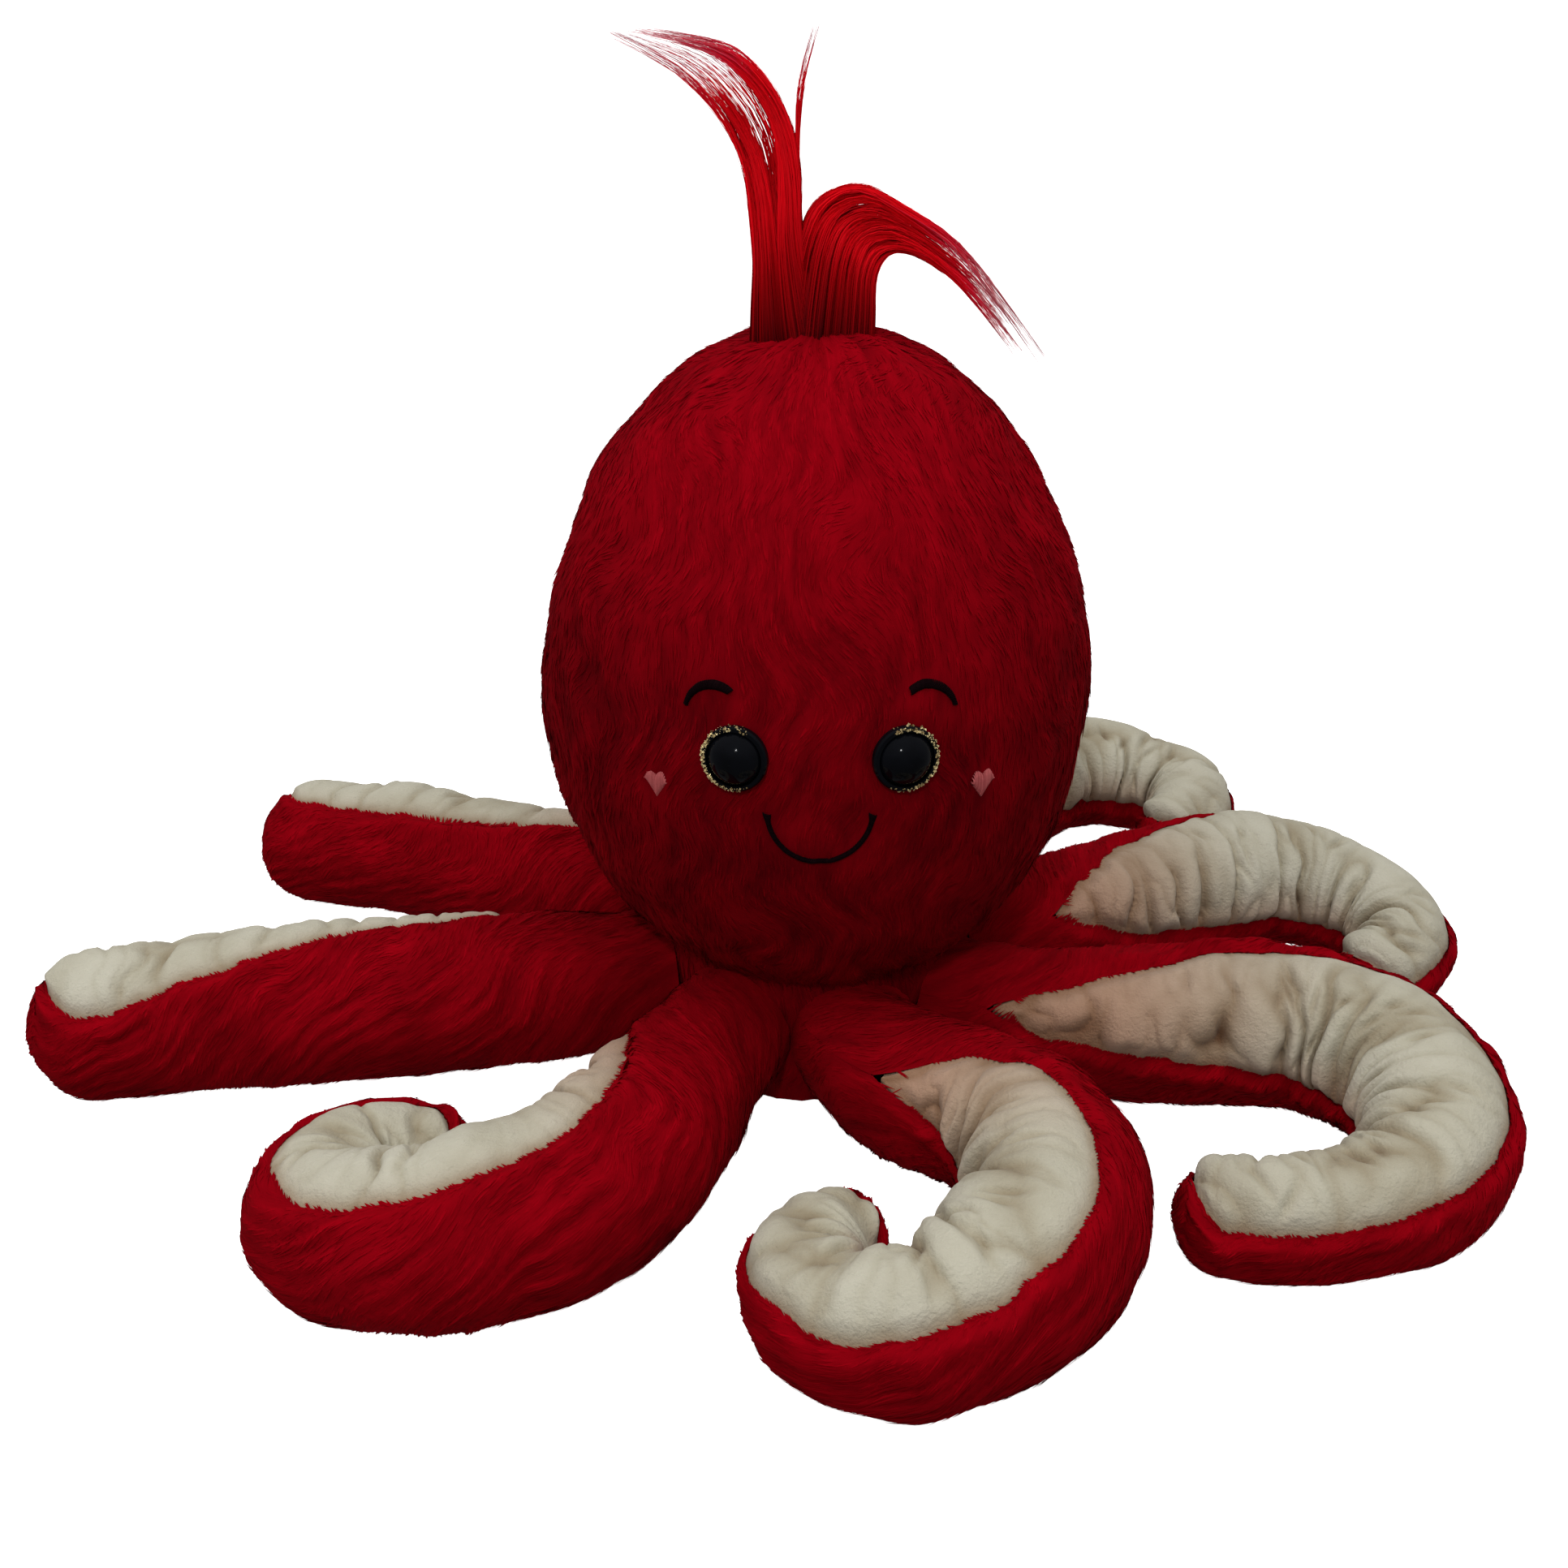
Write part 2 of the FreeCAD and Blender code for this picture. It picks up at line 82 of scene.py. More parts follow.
# ---- arms -----------------------------------------------------------------------------
FIRST_ARM = 14.0
ARM_COUNT = 8
ROOT_GAP = 0.4
ROOT_LEVEL = 24.0
DROP_LENGTH = 62.0
ROOT_SHARE = 0.80         # radius at the root as a share of the full radius
# half angle of the panel in degrees against the share of the arm's length
PANEL_OPENING = [(0.30, 45.0), (0.47, 62.0), (0.67, 75.0), (0.97, 80.0)]
PANEL_START = 0.12        # share of an arm's length where its panel starts
EARLY_START = {"arm_5": 0.06}
COIL_GAP = {"arm_3": 30.0, "arm_4": 34.0}     # degrees of panel missing inside a tight coil
COIL_SPAN = (0.66, 0.98)  # the coil's share of the arm's length
POINT_SHARE = 0.06        # the pointed start takes this share to open to the next angle
POINT_ANGLE = 22.0
# name, place in the ring, radius, tip share, [(length, turn in degrees) ...],
# [(share of length, direction of the panel) ...], distance where the arm can bend
ARMS = [
    ("arm_1", 3, 21.5, 0.92, [(36, 2), (50, 8), (56, 6)],
     [(0, 30), (0.5, 46), (1, 35)], None),
    ("arm_2", 4, 22.5, 0.90, [(36, -8), (45, 2), (80, 0)],
     [(0, 20), (0.6, 20), (1, 65)], None),
    ("arm_3", 5, 23.0, 0.62, [(36, 14), (28, -12), (42, -42), (34, -42), (32, -100), (22, -60)],
     [(0, 30), (1, 50)], 64.0),
    ("arm_4", 6, 22.5, 0.58, [(34, 52), (8, -6), (48, -70), (60, -72), (33, -94), (20, -60)],
     [(0, 30), (1, 80)], 46.0),
    ("arm_5", 7, 22.5, 0.60, [(36, 30), (56, -6), (54, -80), (48, -78), (36, -30)],
     [(0, 30), (1, 80)], 90.0),
    ("arm_6", 0, 22.0, 0.60, [(36, 13), (64, -8), (52, -76), (36, -100)],
     [(0, 30), (1, 80)], 86.0),
    ("arm_7", 1, 22.0, 0.60, [(36, 0), (65, -10), (60, -92), (36, -108)],
     [(0, 30), (1, 80)], 99.0),
    ("arm_8", 2, 22.0, 0.60, [(36, -2), (50, -14), (50, -78), (44, -96)],
     [(0, 30), (1, 80)], 84.0),
]
ROOT_SOFT = 20.0          # length of arm at the root seam; nothing bends over it
BEND_BEFORE = 14.0        # the middle mesh starts this far before the bend
BEND_AFTER = 14.0
MIDDLE_AFTER = 18.0       # and its mesh ends this far past it

# ---- fabric ---------------------------------------------------------------------------
BODY_CELL = 1.5           # spacing of the mesh
ARM_CELL = 1.3
CROWN_OPEN = 3.0          # the cover stops this far from the top, under the tuft
CROWN_BARE = 13.0         # and its pile this far from it
NECK_BARE = 7.0           # no pile on this much of the neck
CLUMP_WIDE = 3.8          # locks of pile that lie together
CLUMP_LONG = 12.5
WARP = 15.0               # how far the lie of the pile wanders
WARP_SIZE = 34.0
PILE_DEPTH = 0.55         # height of the locks
LUMP_DEPTH = 0.9          # broad unevenness of the filling
LUMP_SIZE = 30.0
RIPPLE_DEPTH = 0.8
RIPPLE_SIZE = 11.0
BODY_PAINTED_SHADE = 0.25           # painted shade: how much darker the pile is made low on the body, where less light falls
ARM_PAINTED_SHADE = 0.10            # and at the root of an arm, next to the body
ARM_SLOPE = -0.9          # sideways turn of the pile on the arms
TUFTS_PER_AREA = 0.72     # tufts of pile on a square millimetre of an arm
BODY_TUFTS_PER_AREA = 0.55
TUFT_LENGTH = (3.0, 7.0)
TUFT_WIDTH = (0.3, 0.75)
TUFT_RISE = (0.1, 0.6)    # height of a tuft's end over the fabric
PILE_SHADE = 0.45         # of the cover, whose locks go lighter and darker by the next
LOCK_SHADE = {"body": 0.17, "arm": 0.16}
SEAM_REACH = 1.2          # pile stands this far over a seam
PUFF_HEIGHT = 3.8         # from the bottom of a wide crease to the top of a puff
PUFF_LEVEL = 2.2          # how much of it lies below the smooth tube
RIDGE_HEIGHT = 1.1        # the same for the narrow creases
GATHER_SIZES = (10.5, 5.0)    # spacing of the wide and the narrow creases
PANEL_CROWN = 2.2         # a panel bulges by this in its middle
DIMPLE_SPACING = 9.0      # one pulled-in crease on this length of a panel
DIMPLE_DEPTH = 1.6
SEAM_LEVEL = -0.7         # height of both fabrics where they meet
PANEL_TUCK = 1.4          # a panel runs on this far under the pile at its seams
PANEL_CELL = 0.9
PANEL_COLUMNS = 64
FRINGE_PER_LENGTH = 10    # tufts that lean over a seam, on a millimetre of the arm
FLOOR_CLEAR = 0.15        # nothing of the toy is lower than this

# ---- embroidery and glitter -----------------------------------------------------------
THREAD_RADIUS = 0.24
THREAD_SPACING = 0.34     # along a line of satin stitch
THREAD_SIDES = 6
THREAD_STEPS = 7          # rings of points on one thread
HEART_THREADS = 21
GLITTER_COUNT = 620       # grains before those with weak painted glints are left out

# ---- stage, in metres -----------------------------------------------------------------
# name, place, point it looks at, size, watts, whether the eyes mirror it
LIGHTS = [
    ("key", (0.2, -0.12, 1.25), (0, 0, 0.08), 0.8, 5.6, False),
    ("left", (-1.0, -0.2, 0.8), (0, 0, 0.08), 0.8, 2.6, False),
    ("catch", (-0.10, -0.75, 0.75), (0, -0.07, 0.12), 0.06, 2.0, True),
]
SKY_STRENGTH = 0.64
# brightness of the sky against where it is, 0 straight down and 1 straight up
SKY = [(0.30, 0.36), (0.52, 0.42), (1.0, 1.0)]
FLOOR_HALF = 40.0         # half the width of the floor
CAMERA_PLACE = (-0.0087, -0.4494, 0.3002)
CAMERA_TILT = 64.0        # degrees up from straight down
CAMERA_LENS = 39.6        # millimetres, on a sensor of 36


# ---- number helpers -------------------------------------------------------------------
def lattice(cells, seed):
    """Random value from -1 to 1 for each whole-numbered lattice point."""
    value = cells[..., 0] * 73856093 ^ cells[..., 1] * 19349663 ^ cells[..., 2] * 83492791
    value = (value ^ seed * 374761393) & 0xFFFFFFFF
    value = ((value ^ value >> 15) * 739982445) & 0xFFFFFFFF
    value = ((value ^ value >> 13) * 695872825) & 0xFFFFFFFF
    return ((value ^ value >> 16) & 0xFFFF) / 32767.5 - 1.0


def noise(points, size, seed=0):
    """Smooth random value from -1 to 1 at each point, with features of a size."""
    cells = np.asarray(points, float) / size
    base = np.floor(cells).astype(np.int64)
    part = cells - base
    part = part * part * (3 - 2 * part)
    total = 0.0
    for corner in itertools.product((0, 1), repeat=3):
        weight = 1.0
        for axis in range(3):
            weight = weight * (part[..., axis] if corner[axis] else 1 - part[..., axis])
        total = total + weight * lattice(base + np.array(corner), seed)
    return total


def smoothstep(value):
    """From 0 to 1 with no corners."""
    value = np.clip(value, 0.0, 1.0)
    return value * value * (3 - 2 * value)


def unit(vectors):
    """Vectors scaled to length one."""
    return vectors / np.maximum(np.linalg.norm(vectors, axis=-1, keepdims=True), 1e-9)


def keyed(keys, at):
    """Values at places, straight between the given (place, value) pairs."""
    places, values = zip(*keys)
    return np.interp(at, places, values)


def keep_off_floor(points):
    """Press whatever would go through the floor flat against it."""
    points[..., 2] = np.maximum(points[..., 2], FLOOR_CLEAR)
    return points


# ---- mesh helpers ---------------------------------------------------------------------
def grid_quads(rows, columns, flip=False):
    """Corner numbers of the faces of a grid."""
    index = np.arange(rows * columns).reshape(rows, columns)
    corners = [index[:-1, :-1], index[:-1, 1:], index[1:, 1:], index[1:, :-1]]
    if flip:
        corners.reverse()
    return np.stack(corners, -1).reshape(-1, 4)


def mesh_object(name, points, quads, material, shade=None, normals=None, lie=None):
    """Object of four-cornered faces, with a shade from 0 to 1 at each point.

    lie gives each point's place across and along the lie of the pile.
    """
    mesh = bpy.data.meshes.new(name)
    points = np.asarray(points, float).reshape(-1, 3)
    mesh.vertices.add(len(points))
    mesh.vertices.foreach_set("co", (points * MM).astype(np.float32).ravel())
    mesh.loops.add(4 * len(quads))
    mesh.loops.foreach_set("vertex_index", np.asarray(quads, np.int32).ravel())
    mesh.polygons.add(len(quads))
    mesh.polygons.foreach_set("loop_start", np.arange(0, 4 * len(quads), 4, dtype=np.int32))
    mesh.polygons.foreach_set("use_smooth", np.ones(len(quads), bool))
    mesh.update(calc_edges=True)
    if shade is not None:
        layer = mesh.attributes.new("shade", "FLOAT", "POINT")
        layer.data.foreach_set("value", np.clip(shade, 0, 1).astype(np.float32).ravel())
    if lie is not None:
        layer = mesh.attributes.new("lie", "FLOAT_VECTOR", "POINT")
        layer.data.foreach_set("vector", np.asarray(lie, np.float32).ravel())
    mesh.materials.append(material)
    if normals is not None:
        mesh.normals_split_custom_set_from_vertices(normals.reshape(-1, 3).tolist())
    thing = bpy.data.objects.new(name, mesh)
    bpy.context.scene.collection.objects.link(thing)
    return thing


def add_value(thing, name, values):
    """One more number from 0 to 1 at each point of a mesh."""
    layer = thing.data.attributes.new(name, "FLOAT", "POINT")
    layer.data.foreach_set("value", np.clip(values, 0, 1).astype(np.float32).ravel())


def joined(parts):
    """Several (points, quads, shade, normals, lie) as one."""
    points, quads, shades, normals, lies = [], [], [], [], []
    start = 0
    for part_points, part_quads, part_shade, part_normals, part_lie in parts:
        part_points = part_points.reshape(-1, 3)
        points.append(part_points)
        quads.append(part_quads + start)
        shades.append(part_shade.ravel())
        normals.append(part_normals.reshape(-1, 3))
        lies.append(part_lie.reshape(-1, 3))
        start += len(part_points)
    return tuple(np.concatenate(each) for each in (points, quads, shades, normals, lies))


# ---- skins ----------------------------------------------------------------------------
class Skin:
    """A surface with a coordinate across it and one along it, folds and a lie of pile."""

    outward = 1.0             # which way the product of the two directions points
    lie = 1.0                 # whether the pile lies along or against the second coordinate
    scale_fixed = 1.0         # millimetres across for the locks, the same everywhere on a skin
    slope = 0.0               # millimetres that the lie moves aside for one along
    seed = 0

    def scale(self, across, along):
        """Millimetres for one unit of the coordinate across."""
        raise NotImplementedError

    def flat(self, across, along):
        """Points of the smooth shape."""
        raise NotImplementedError

    def height(self, across, along, points):
        """How far the fabric stands off the smooth shape."""
        raise NotImplementedError

    def drift(self, points):
        """Offset that makes the lie of the pile wander."""
        return WARP * (noise(points, WARP_SIZE, 5 + self.seed)
                       + 0.35 * noise(points, WARP_SIZE / 2.4, 6 + self.seed))

    def base(self, across, along):
        """Points and outward normals of the smooth shape."""
        step_across = 0.3 / np.maximum(self.scale(across, along), 0.5)
        by_across = (self.flat(across + step_across, along)
                     - self.flat(across - step_across, along))
        by_along = self.flat(across, along + 0.3) - self.flat(across, along - 0.3)
        normal = unit(np.cross(by_across, by_along)) * self.outward
        return self.flat(across, along), normal

    def room(self, across, along):
        """Longest pile that may stand at a place."""
        return np.full(np.shape(across), TUFT_LENGTH[1])

    def lie_of(self, across, along, points):
        """Place of points across and along the lie of the pile."""
        side = across * self.scale_fixed + self.slope * along + self.drift(points)
        return np.stack([side, along, 0 * along], -1)

    def painted_shade(self, along, points):
        """Painted shade: how much darker the pile is made where less light falls on it."""
        raise NotImplementedError

    def clump(self, across, along, points):
        """Waves of pile lying together, from -1 to 1."""
        lie = self.lie_of(across, along, points)
        broad = lie / np.array([CLUMP_WIDE, CLUMP_LONG, 1.0])
        fine = lie / np.array([0.45 * CLUMP_WIDE, 0.6 * CLUMP_LONG, 1.0])
        return 0.75 * noise(broad, 1.0, 7 + self.seed) + 0.35 * noise(fine, 1.0, 8 + self.seed)

    def flow(self, across, along):
        """Direction in which the pile lies, in millimetres across and along."""
        reach = 1.5
        points = self.flat(across, along)
        aside = self.flat(across + reach / np.maximum(self.scale(across, along), 4.0), along)
        onward = self.flat(across, along + reach)
        here = self.drift(points)
        by_across = (self.drift(aside) - here) / reach
        by_along = (self.drift(onward) - here) / reach + self.slope
        direction = np.stack([-by_along, 1 + by_across], -1) * self.lie
        return unit(direction)

    def surface(self, across, along, lift=0.0):
        """Points of the fabric and normals of the smooth shape."""
        points, normal = self.base(across, along)
        rise = self.height(across, along, points) + lift
        return points + normal * rise[..., None], normal

    def folded_normals(self, across, along):
        """Normals of the fabric with its folds."""
        step = 0.8
        wide = step / np.maximum(self.scale(across, along), 12.0)
        by_across = self.surface(across + wide, along)[0] - self.surface(across - wide, along)[0]
        by_along = self.surface(across, along + step)[0] - self.surface(across, along - step)[0]
        return unit(np.cross(by_across, by_along)) * self.outward


def egg_outline(angle):
    """Radius and level of the egg, at angles in degrees up from its bottom."""
    turn = np.radians(angle)
    share = (1 - np.cos(turn)) / 2
    taper = 1 - BODY_TAPER * (share - TAPER_LEVEL)
    radius = BODY_RADIUS * np.maximum(np.sin(turn), 0.0) ** ROUNDNESS * taper
    return np.stack([radius, BODY_BOTTOM + BODY_HEIGHT * share], -1)


class BodySkin(Skin):
    """Body: turns round it, and distance up its outline from the foot of the neck."""

    lie = -1.0
    scale_fixed = 2 * math.pi * 70.0

    def __init__(self):
        start = np.array([[NECK_RADIUS, NECK_FOOT], [NECK_RADIUS, NECK_TOP],
                          [NECK_RADIUS + 0.8, NECK_TOP + 5.0]])
        self.outline = np.concatenate([start, egg_outline(np.linspace(EGG_START, 180, 300))])
        steps = np.hypot(*np.diff(self.outline, axis=0).T)
        self.reach = np.concatenate([[0.0], np.cumsum(steps)])
        self.length = self.reach[-1]

    def scale(self, across, along):
        return 2 * math.pi * np.interp(along, self.reach, self.outline[:, 0])

    def flat(self, across, along):
        radius = np.interp(along, self.reach, self.outline[:, 0])
        level = np.interp(along, self.reach, self.outline[:, 1])
        turn = across * 2 * math.pi
        return np.stack([radius * np.sin(turn), -radius * np.cos(turn), level], -1)

    def height(self, across, along, points):
        lumps = LUMP_DEPTH * noise(points, LUMP_SIZE, 11)
        lumps = lumps + RIPPLE_DEPTH * noise(points, RIPPLE_SIZE, 12)
        pile = PILE_DEPTH * self.clump(across, along, points)
        strength = 0.35 + 0.65 * smoothstep((points[..., 2] - 165.0) / 35.0)
        seam = -0.9 * strength * np.exp(-(points[..., 0] / 1.3) ** 2)
        return (lumps + pile) * self.calm(points) + seam

    def calm(self, points):
        """Less fold at the eyes, so that their rings sit well."""
        quiet = 1.0
        for side in (-1, 1):
            foot = surface_point(side * EYE_AZIMUTH, EYE_LEVEL)
            away = np.linalg.norm(points - foot, axis=-1)
            quiet = quiet * smoothstep((away - 6.0) / 9.0)
        return quiet

    def painted_shade(self, along, points):
        # painted shade, darker toward the bottom of the body
        return BODY_PAINTED_SHADE * smoothstep((178.0 - points[..., 2]) / 55.0)

    def at_level(self, level):
        """Distance up the outline at a level above the neck."""
        return np.interp(level, self.outline[:, 1], self.reach)


def surface_point(azimuth, level):
    """Point of the smooth body, from an azimuth in degrees and a level."""
    return BODY.flat(azimuth / 360.0, BODY.at_level(level))


class Arm:
    """Centre line, radius and panel of one arm."""

    def __init__(self, place, radius, tip_share, turns, panel, bend, start, coil_gap):
        self.start = start
        self.coil_gap = coil_gap
        self.seed = 20 * place + 3
        self.radius = radius
        self.tip_share = tip_share
        self.panel = panel
        self.bend = bend
        self.length = sum(length for length, _ in turns)
        self.cap = radius * tip_share
        self.end = self.length + self.cap * math.pi / 2
        self.trace(math.radians(FIRST_ARM + 360.0 / ARM_COUNT * place), turns)

    def trace(self, azimuth, turns):
        """Table of the centre line on the floor plan."""
        step = 0.25
        lead = 8.0            # the table starts inside the body
        self.places = np.arange(-lead, self.length + self.cap + lead, step)
        ends = np.cumsum([0] + [length for length, _ in turns])
        swings = np.radians(np.cumsum([0] + [turn for _, turn in turns]))
        self.headings = azimuth + np.interp(self.places, ends, swings)
        middle = azimuth + np.interp(self.places[:-1] + step / 2, ends, swings)
        reach = NECK_RADIUS + ROOT_GAP - lead
        self.xs = reach * math.cos(azimuth) + np.concatenate([[0], np.cumsum(step * np.cos(middle))])
        self.ys = reach * math.sin(azimuth) + np.concatenate([[0], np.cumsum(step * np.sin(middle))])

    def plan(self, distance):
        """Place and heading of the centre line."""
        return (np.interp(distance, self.places, self.xs),
                np.interp(distance, self.places, self.ys),
                np.interp(distance, self.places, self.headings))

    def tube_radius(self, distance):
        """Outer radius of the tube before the rounded end."""
        share = np.clip(distance / self.length, 0.0, 1.0)
        if self.tip_share < 0.75:
            keys = [(0, ROOT_SHARE), (0.15, 0.92), (0.32, 1.0), (0.55, 1.0),
                    (0.75, 0.55 + 0.45 * self.tip_share), (1, self.tip_share)]
        else:
            keys = [(0, ROOT_SHARE), (0.15, 0.92), (0.32, 1.0), (0.7, 1.0), (1, self.tip_share)]
        return self.radius * keyed(keys, share)

    def level(self, distance):
        """Height of the centre line."""
        rest = self.tube_radius(distance)
        fall = smoothstep(1 - np.maximum(distance, 0) / DROP_LENGTH)
        return rest + (ROOT_LEVEL - rest) * fall

    def opening(self, distance):
        """Half angle of the panel in degrees."""
        point = [(self.start, 0.0), (self.start + POINT_SHARE, POINT_ANGLE)]
        widest = keyed(point + PANEL_OPENING, distance / self.length)
        start = self.length - 2.0
        end = self.length + 0.72 * self.cap
        past = np.clip((distance - start) / (end - start), 0.0, 1.0)
        return widest * np.sqrt(1 - past * past)

    def unroll(self, along):
        """Distance on the centre line and shrink of the section, for a distance on the skin."""
        turn = np.clip((along - self.length) / self.cap, 0.0, math.pi / 2)
        distance = np.where(along > self.length, self.length + self.cap * np.sin(turn), along)
        return distance, np.cos(turn)

    def edge(self, along, side):
        """Angle in degrees of the seam on one side of the panel, a little uneven."""
        distance, _ = self.unroll(along)
        half = self.opening(distance)
        spots = np.stack([along, 0 * along, 0 * along + 50.0 * side], -1)
        uneven = 1.5 * noise(spots, 9.0, self.seed) + 0.8 * noise(spots, 3.5, self.seed + 1)
        uneven = np.degrees(uneven / self.tube_radius(distance)) * smoothstep(half / 30.0)
        if side < 0:
            part = (distance / self.length - COIL_SPAN[0]) / (COIL_SPAN[1] - COIL_SPAN[0])
            gap = np.sin(np.pi * np.clip(part, 0, 1)) * (1 + 0.5 * noise(spots, 7.0, self.seed + 2))
            uneven = uneven - self.coil_gap * gap
        return keyed(self.panel, distance / self.length) + side * (half + uneven)

    def ring(self, angle, along):
        """Points of the smooth tube."""
        distance, shrink = self.unroll(along)
        x, y, heading = self.plan(distance)
        radius = self.tube_radius(distance) * shrink
        turn = np.radians(angle)
        sideways = radius * np.cos(turn)
        return np.stack([x + sideways * np.sin(heading), y - sideways * np.cos(heading),
                         self.level(distance) + radius * np.sin(turn)], -1)

    def centre(self, distance):
        """One point of the centre line, in metres."""
        x, y, _ = self.plan(distance)
        return (float(x) * MM, float(y) * MM, float(self.level(distance)) * MM)


class ArmSkin(Skin):
    """Strip of an arm's tube between two seams."""

    outward = -1.0

    def __init__(self, arm):
        self.arm = arm
        self.seed = arm.seed

    def scale(self, across, along):
        distance, shrink = self.arm.unroll(along)
        first, last = self.limits(along)
        radius = self.arm.tube_radius(distance) * np.maximum(shrink, 0.03)
        return np.maximum(np.radians(last - first) * radius, 0.05)

    def flat(self, across, along):
        first, last = self.limits(along)
        return self.arm.ring(first + (last - first) * across, along)

    def seam_distance(self, across, along):
        """Millimetres to the nearer seam."""
        return np.minimum(np.abs(across), np.abs(1 - across)) * self.scale(across, along)


class SleeveSkin(ArmSkin):
    """Red pile sleeve of an arm."""

    slope = ARM_SLOPE
    scale_fixed = 2 * math.pi * 20.0

    def painted_shade(self, along, points):
        # painted shade, darker near the body
        return ARM_PAINTED_SHADE * (1 - smoothstep((along + 2.0) / 60.0))

    def limits(self, along):
        return self.arm.edge(along, 1), self.arm.edge(along, -1) + 360.0

    def height(self, across, along, points):
        lumps = LUMP_DEPTH * noise(points, LUMP_SIZE * 0.8, 13)
        lumps = lumps + RIPPLE_DEPTH * noise(points, RIPPLE_SIZE, 14)
        pile = PILE_DEPTH * self.clump(across, along, points)
        away = self.seam_distance(across, along)
        distance, _ = self.arm.unroll(along)
        sewn = smoothstep(self.arm.opening(distance) / 14.0)
        side = np.where(across < 0.5, 0.0, 40.0)
        spots = np.stack([along + 0.25 * away, side, 0.06 * away], -1)
        pucker = np.abs(noise(spots, 8.0, 15 + self.seed))
        pucker = 1.5 * (pucker - 0.35) * np.exp(-(away / 9.0) ** 2) * sewn
        roll = 0.9 * np.exp(-((away - 4.0) / 3.0) ** 2) * sewn
        held = sewn * (1 - smoothstep(away / 3.5))
        return (lumps + pile + pucker + roll) * (1 - held) + SEAM_LEVEL * held

    def room(self, across, along):
        """Pile near a seam is trimmed, so that it hardly stands over the panel."""
        distance, _ = self.arm.unroll(along)
        sewn = smoothstep(self.arm.opening(distance) / 14.0)
        short = SEAM_REACH + 1.3 * self.seam_distance(across, along)
        return np.minimum(short + (1 - sewn) * TUFT_LENGTH[1], TUFT_LENGTH[1])


class PanelSkin(ArmSkin):
    """Crinkled cream panel of an arm, gathered into its seams."""

    def limits(self, along):
        distance, shrink = self.arm.unroll(along)
        radius = self.arm.tube_radius(distance) * np.maximum(shrink, 0.25)
        under = np.degrees(PANEL_TUCK / radius) * smoothstep(self.arm.opening(distance) / 20.0)
        return self.arm.edge(along, -1) - under, self.arm.edge(along, 1) + under

    def seam_distance(self, across, along):
        return np.maximum(super().seam_distance(across, along) - PANEL_TUCK, 0.0)

    def gathers(self, across, along, points):
        """Wide and narrow gathers, 0 in a crease and 1 on a puff, and nearness to the inner seam."""
        inner = 1 - smoothstep(across * 1.05)
        bend = 5.0 * noise(points, 16.0, 31) + 2.0 * noise(points, 7.0, 32)
        spots = np.stack([along + bend, 9.0 * across, 0 * along], -1)
        wide = np.abs(noise(spots, GATHER_SIZES[0], 33 + self.seed))
        spots = np.stack([along + 0.6 * bend, 14.0 * across, 0 * along + 9.0], -1)
        narrow = np.abs(noise(spots, GATHER_SIZES[1], 34 + self.seed))
        wide = 1 - (1 - np.clip(wide * 1.9, 0, 1)) ** 2.4
        narrow = 1 - (1 - np.clip(narrow * 2.0, 0, 1)) ** 2.0
        return wide, narrow, inner

    def dimples(self, across, along):
        """Short pulled-in creases, 1 at their centres."""
        generator = np.random.default_rng(self.seed + 38)
        depth = np.zeros(np.shape(along))
        span = self.scale(across, along)
        for _ in range(int(self.arm.length / DIMPLE_SPACING)):
            at_along = generator.uniform(0.25, 1.0) * self.arm.length
            at_across = generator.uniform(0.2, 0.75)
            slant = generator.uniform(-0.6, 0.6)
            aside = (across - at_across) * span
            onward = along - at_along - slant * aside
            depth = np.maximum(depth, np.exp(-(onward / 1.3) ** 2 - (aside / 4.5) ** 2))
        return depth

    def height(self, across, along, points):
        wide, narrow, inner = self.gathers(across, along, points)
        away = self.seam_distance(across, along)
        span = self.scale(across, along)
        size = smoothstep(span / 30.0)
        puff = (PUFF_HEIGHT * wide - PUFF_LEVEL) * (0.30 + 0.90 * inner)
        puff = puff + RIDGE_HEIGHT * (narrow - 0.5) * (0.35 + 0.75 * inner)
        puff = puff - DIMPLE_DEPTH * self.dimples(across, along)
        crown = PANEL_CROWN * np.sin(np.clip(across, 0, 1) * math.pi)
        tucked = 1 - smoothstep(super().seam_distance(across, along) / PANEL_TUCK)
        broad = 0.7 * noise(points, 18.0, 35)
        raised = (puff + crown + broad) * size * smoothstep(away / 5.5)
        return SEAM_LEVEL - 0.1 - 0.9 * tucked + raised

    def shade(self, across, along, points):
        """Painted shade: 0 in the deepest creases, 1 on the puffs, and darker near the seams and in the
        dimples.
        """
        wide, narrow, inner = self.gathers(across, along, points)
        away = self.seam_distance(across, along)
        strong = 0.55 + 0.45 * inner
        value = 1.0 - 0.68 * strong * (1 - wide) - 0.30 * strong * (1 - narrow)
        value = value - 0.30 * self.dimples(across, along)
        # painted shade near the seams, where the panel tucks under the pile
        clear_of_seam_shade = smoothstep((away - 0.5) / 4.0)
        return value * (0.55 + 0.45 * clear_of_seam_shade) * (0.84 + 0.16 * noise(points, 20.0, 36))

    def painted_red_shade(self, across, along, points):
        """Painted red-tinted shade, for light bounced off the red pile and for shadow: near the seams,
        the inner side and the body.
        """
        away = self.seam_distance(across, along)
        near_root = 1 - smoothstep((along / self.arm.length - 0.12) / 0.42)
        inner = (1 - smoothstep(across / 0.34)) * 0.7
        return np.maximum(0.6 * np.exp(-away / 2.2), np.maximum(inner, 0.9 * near_root))


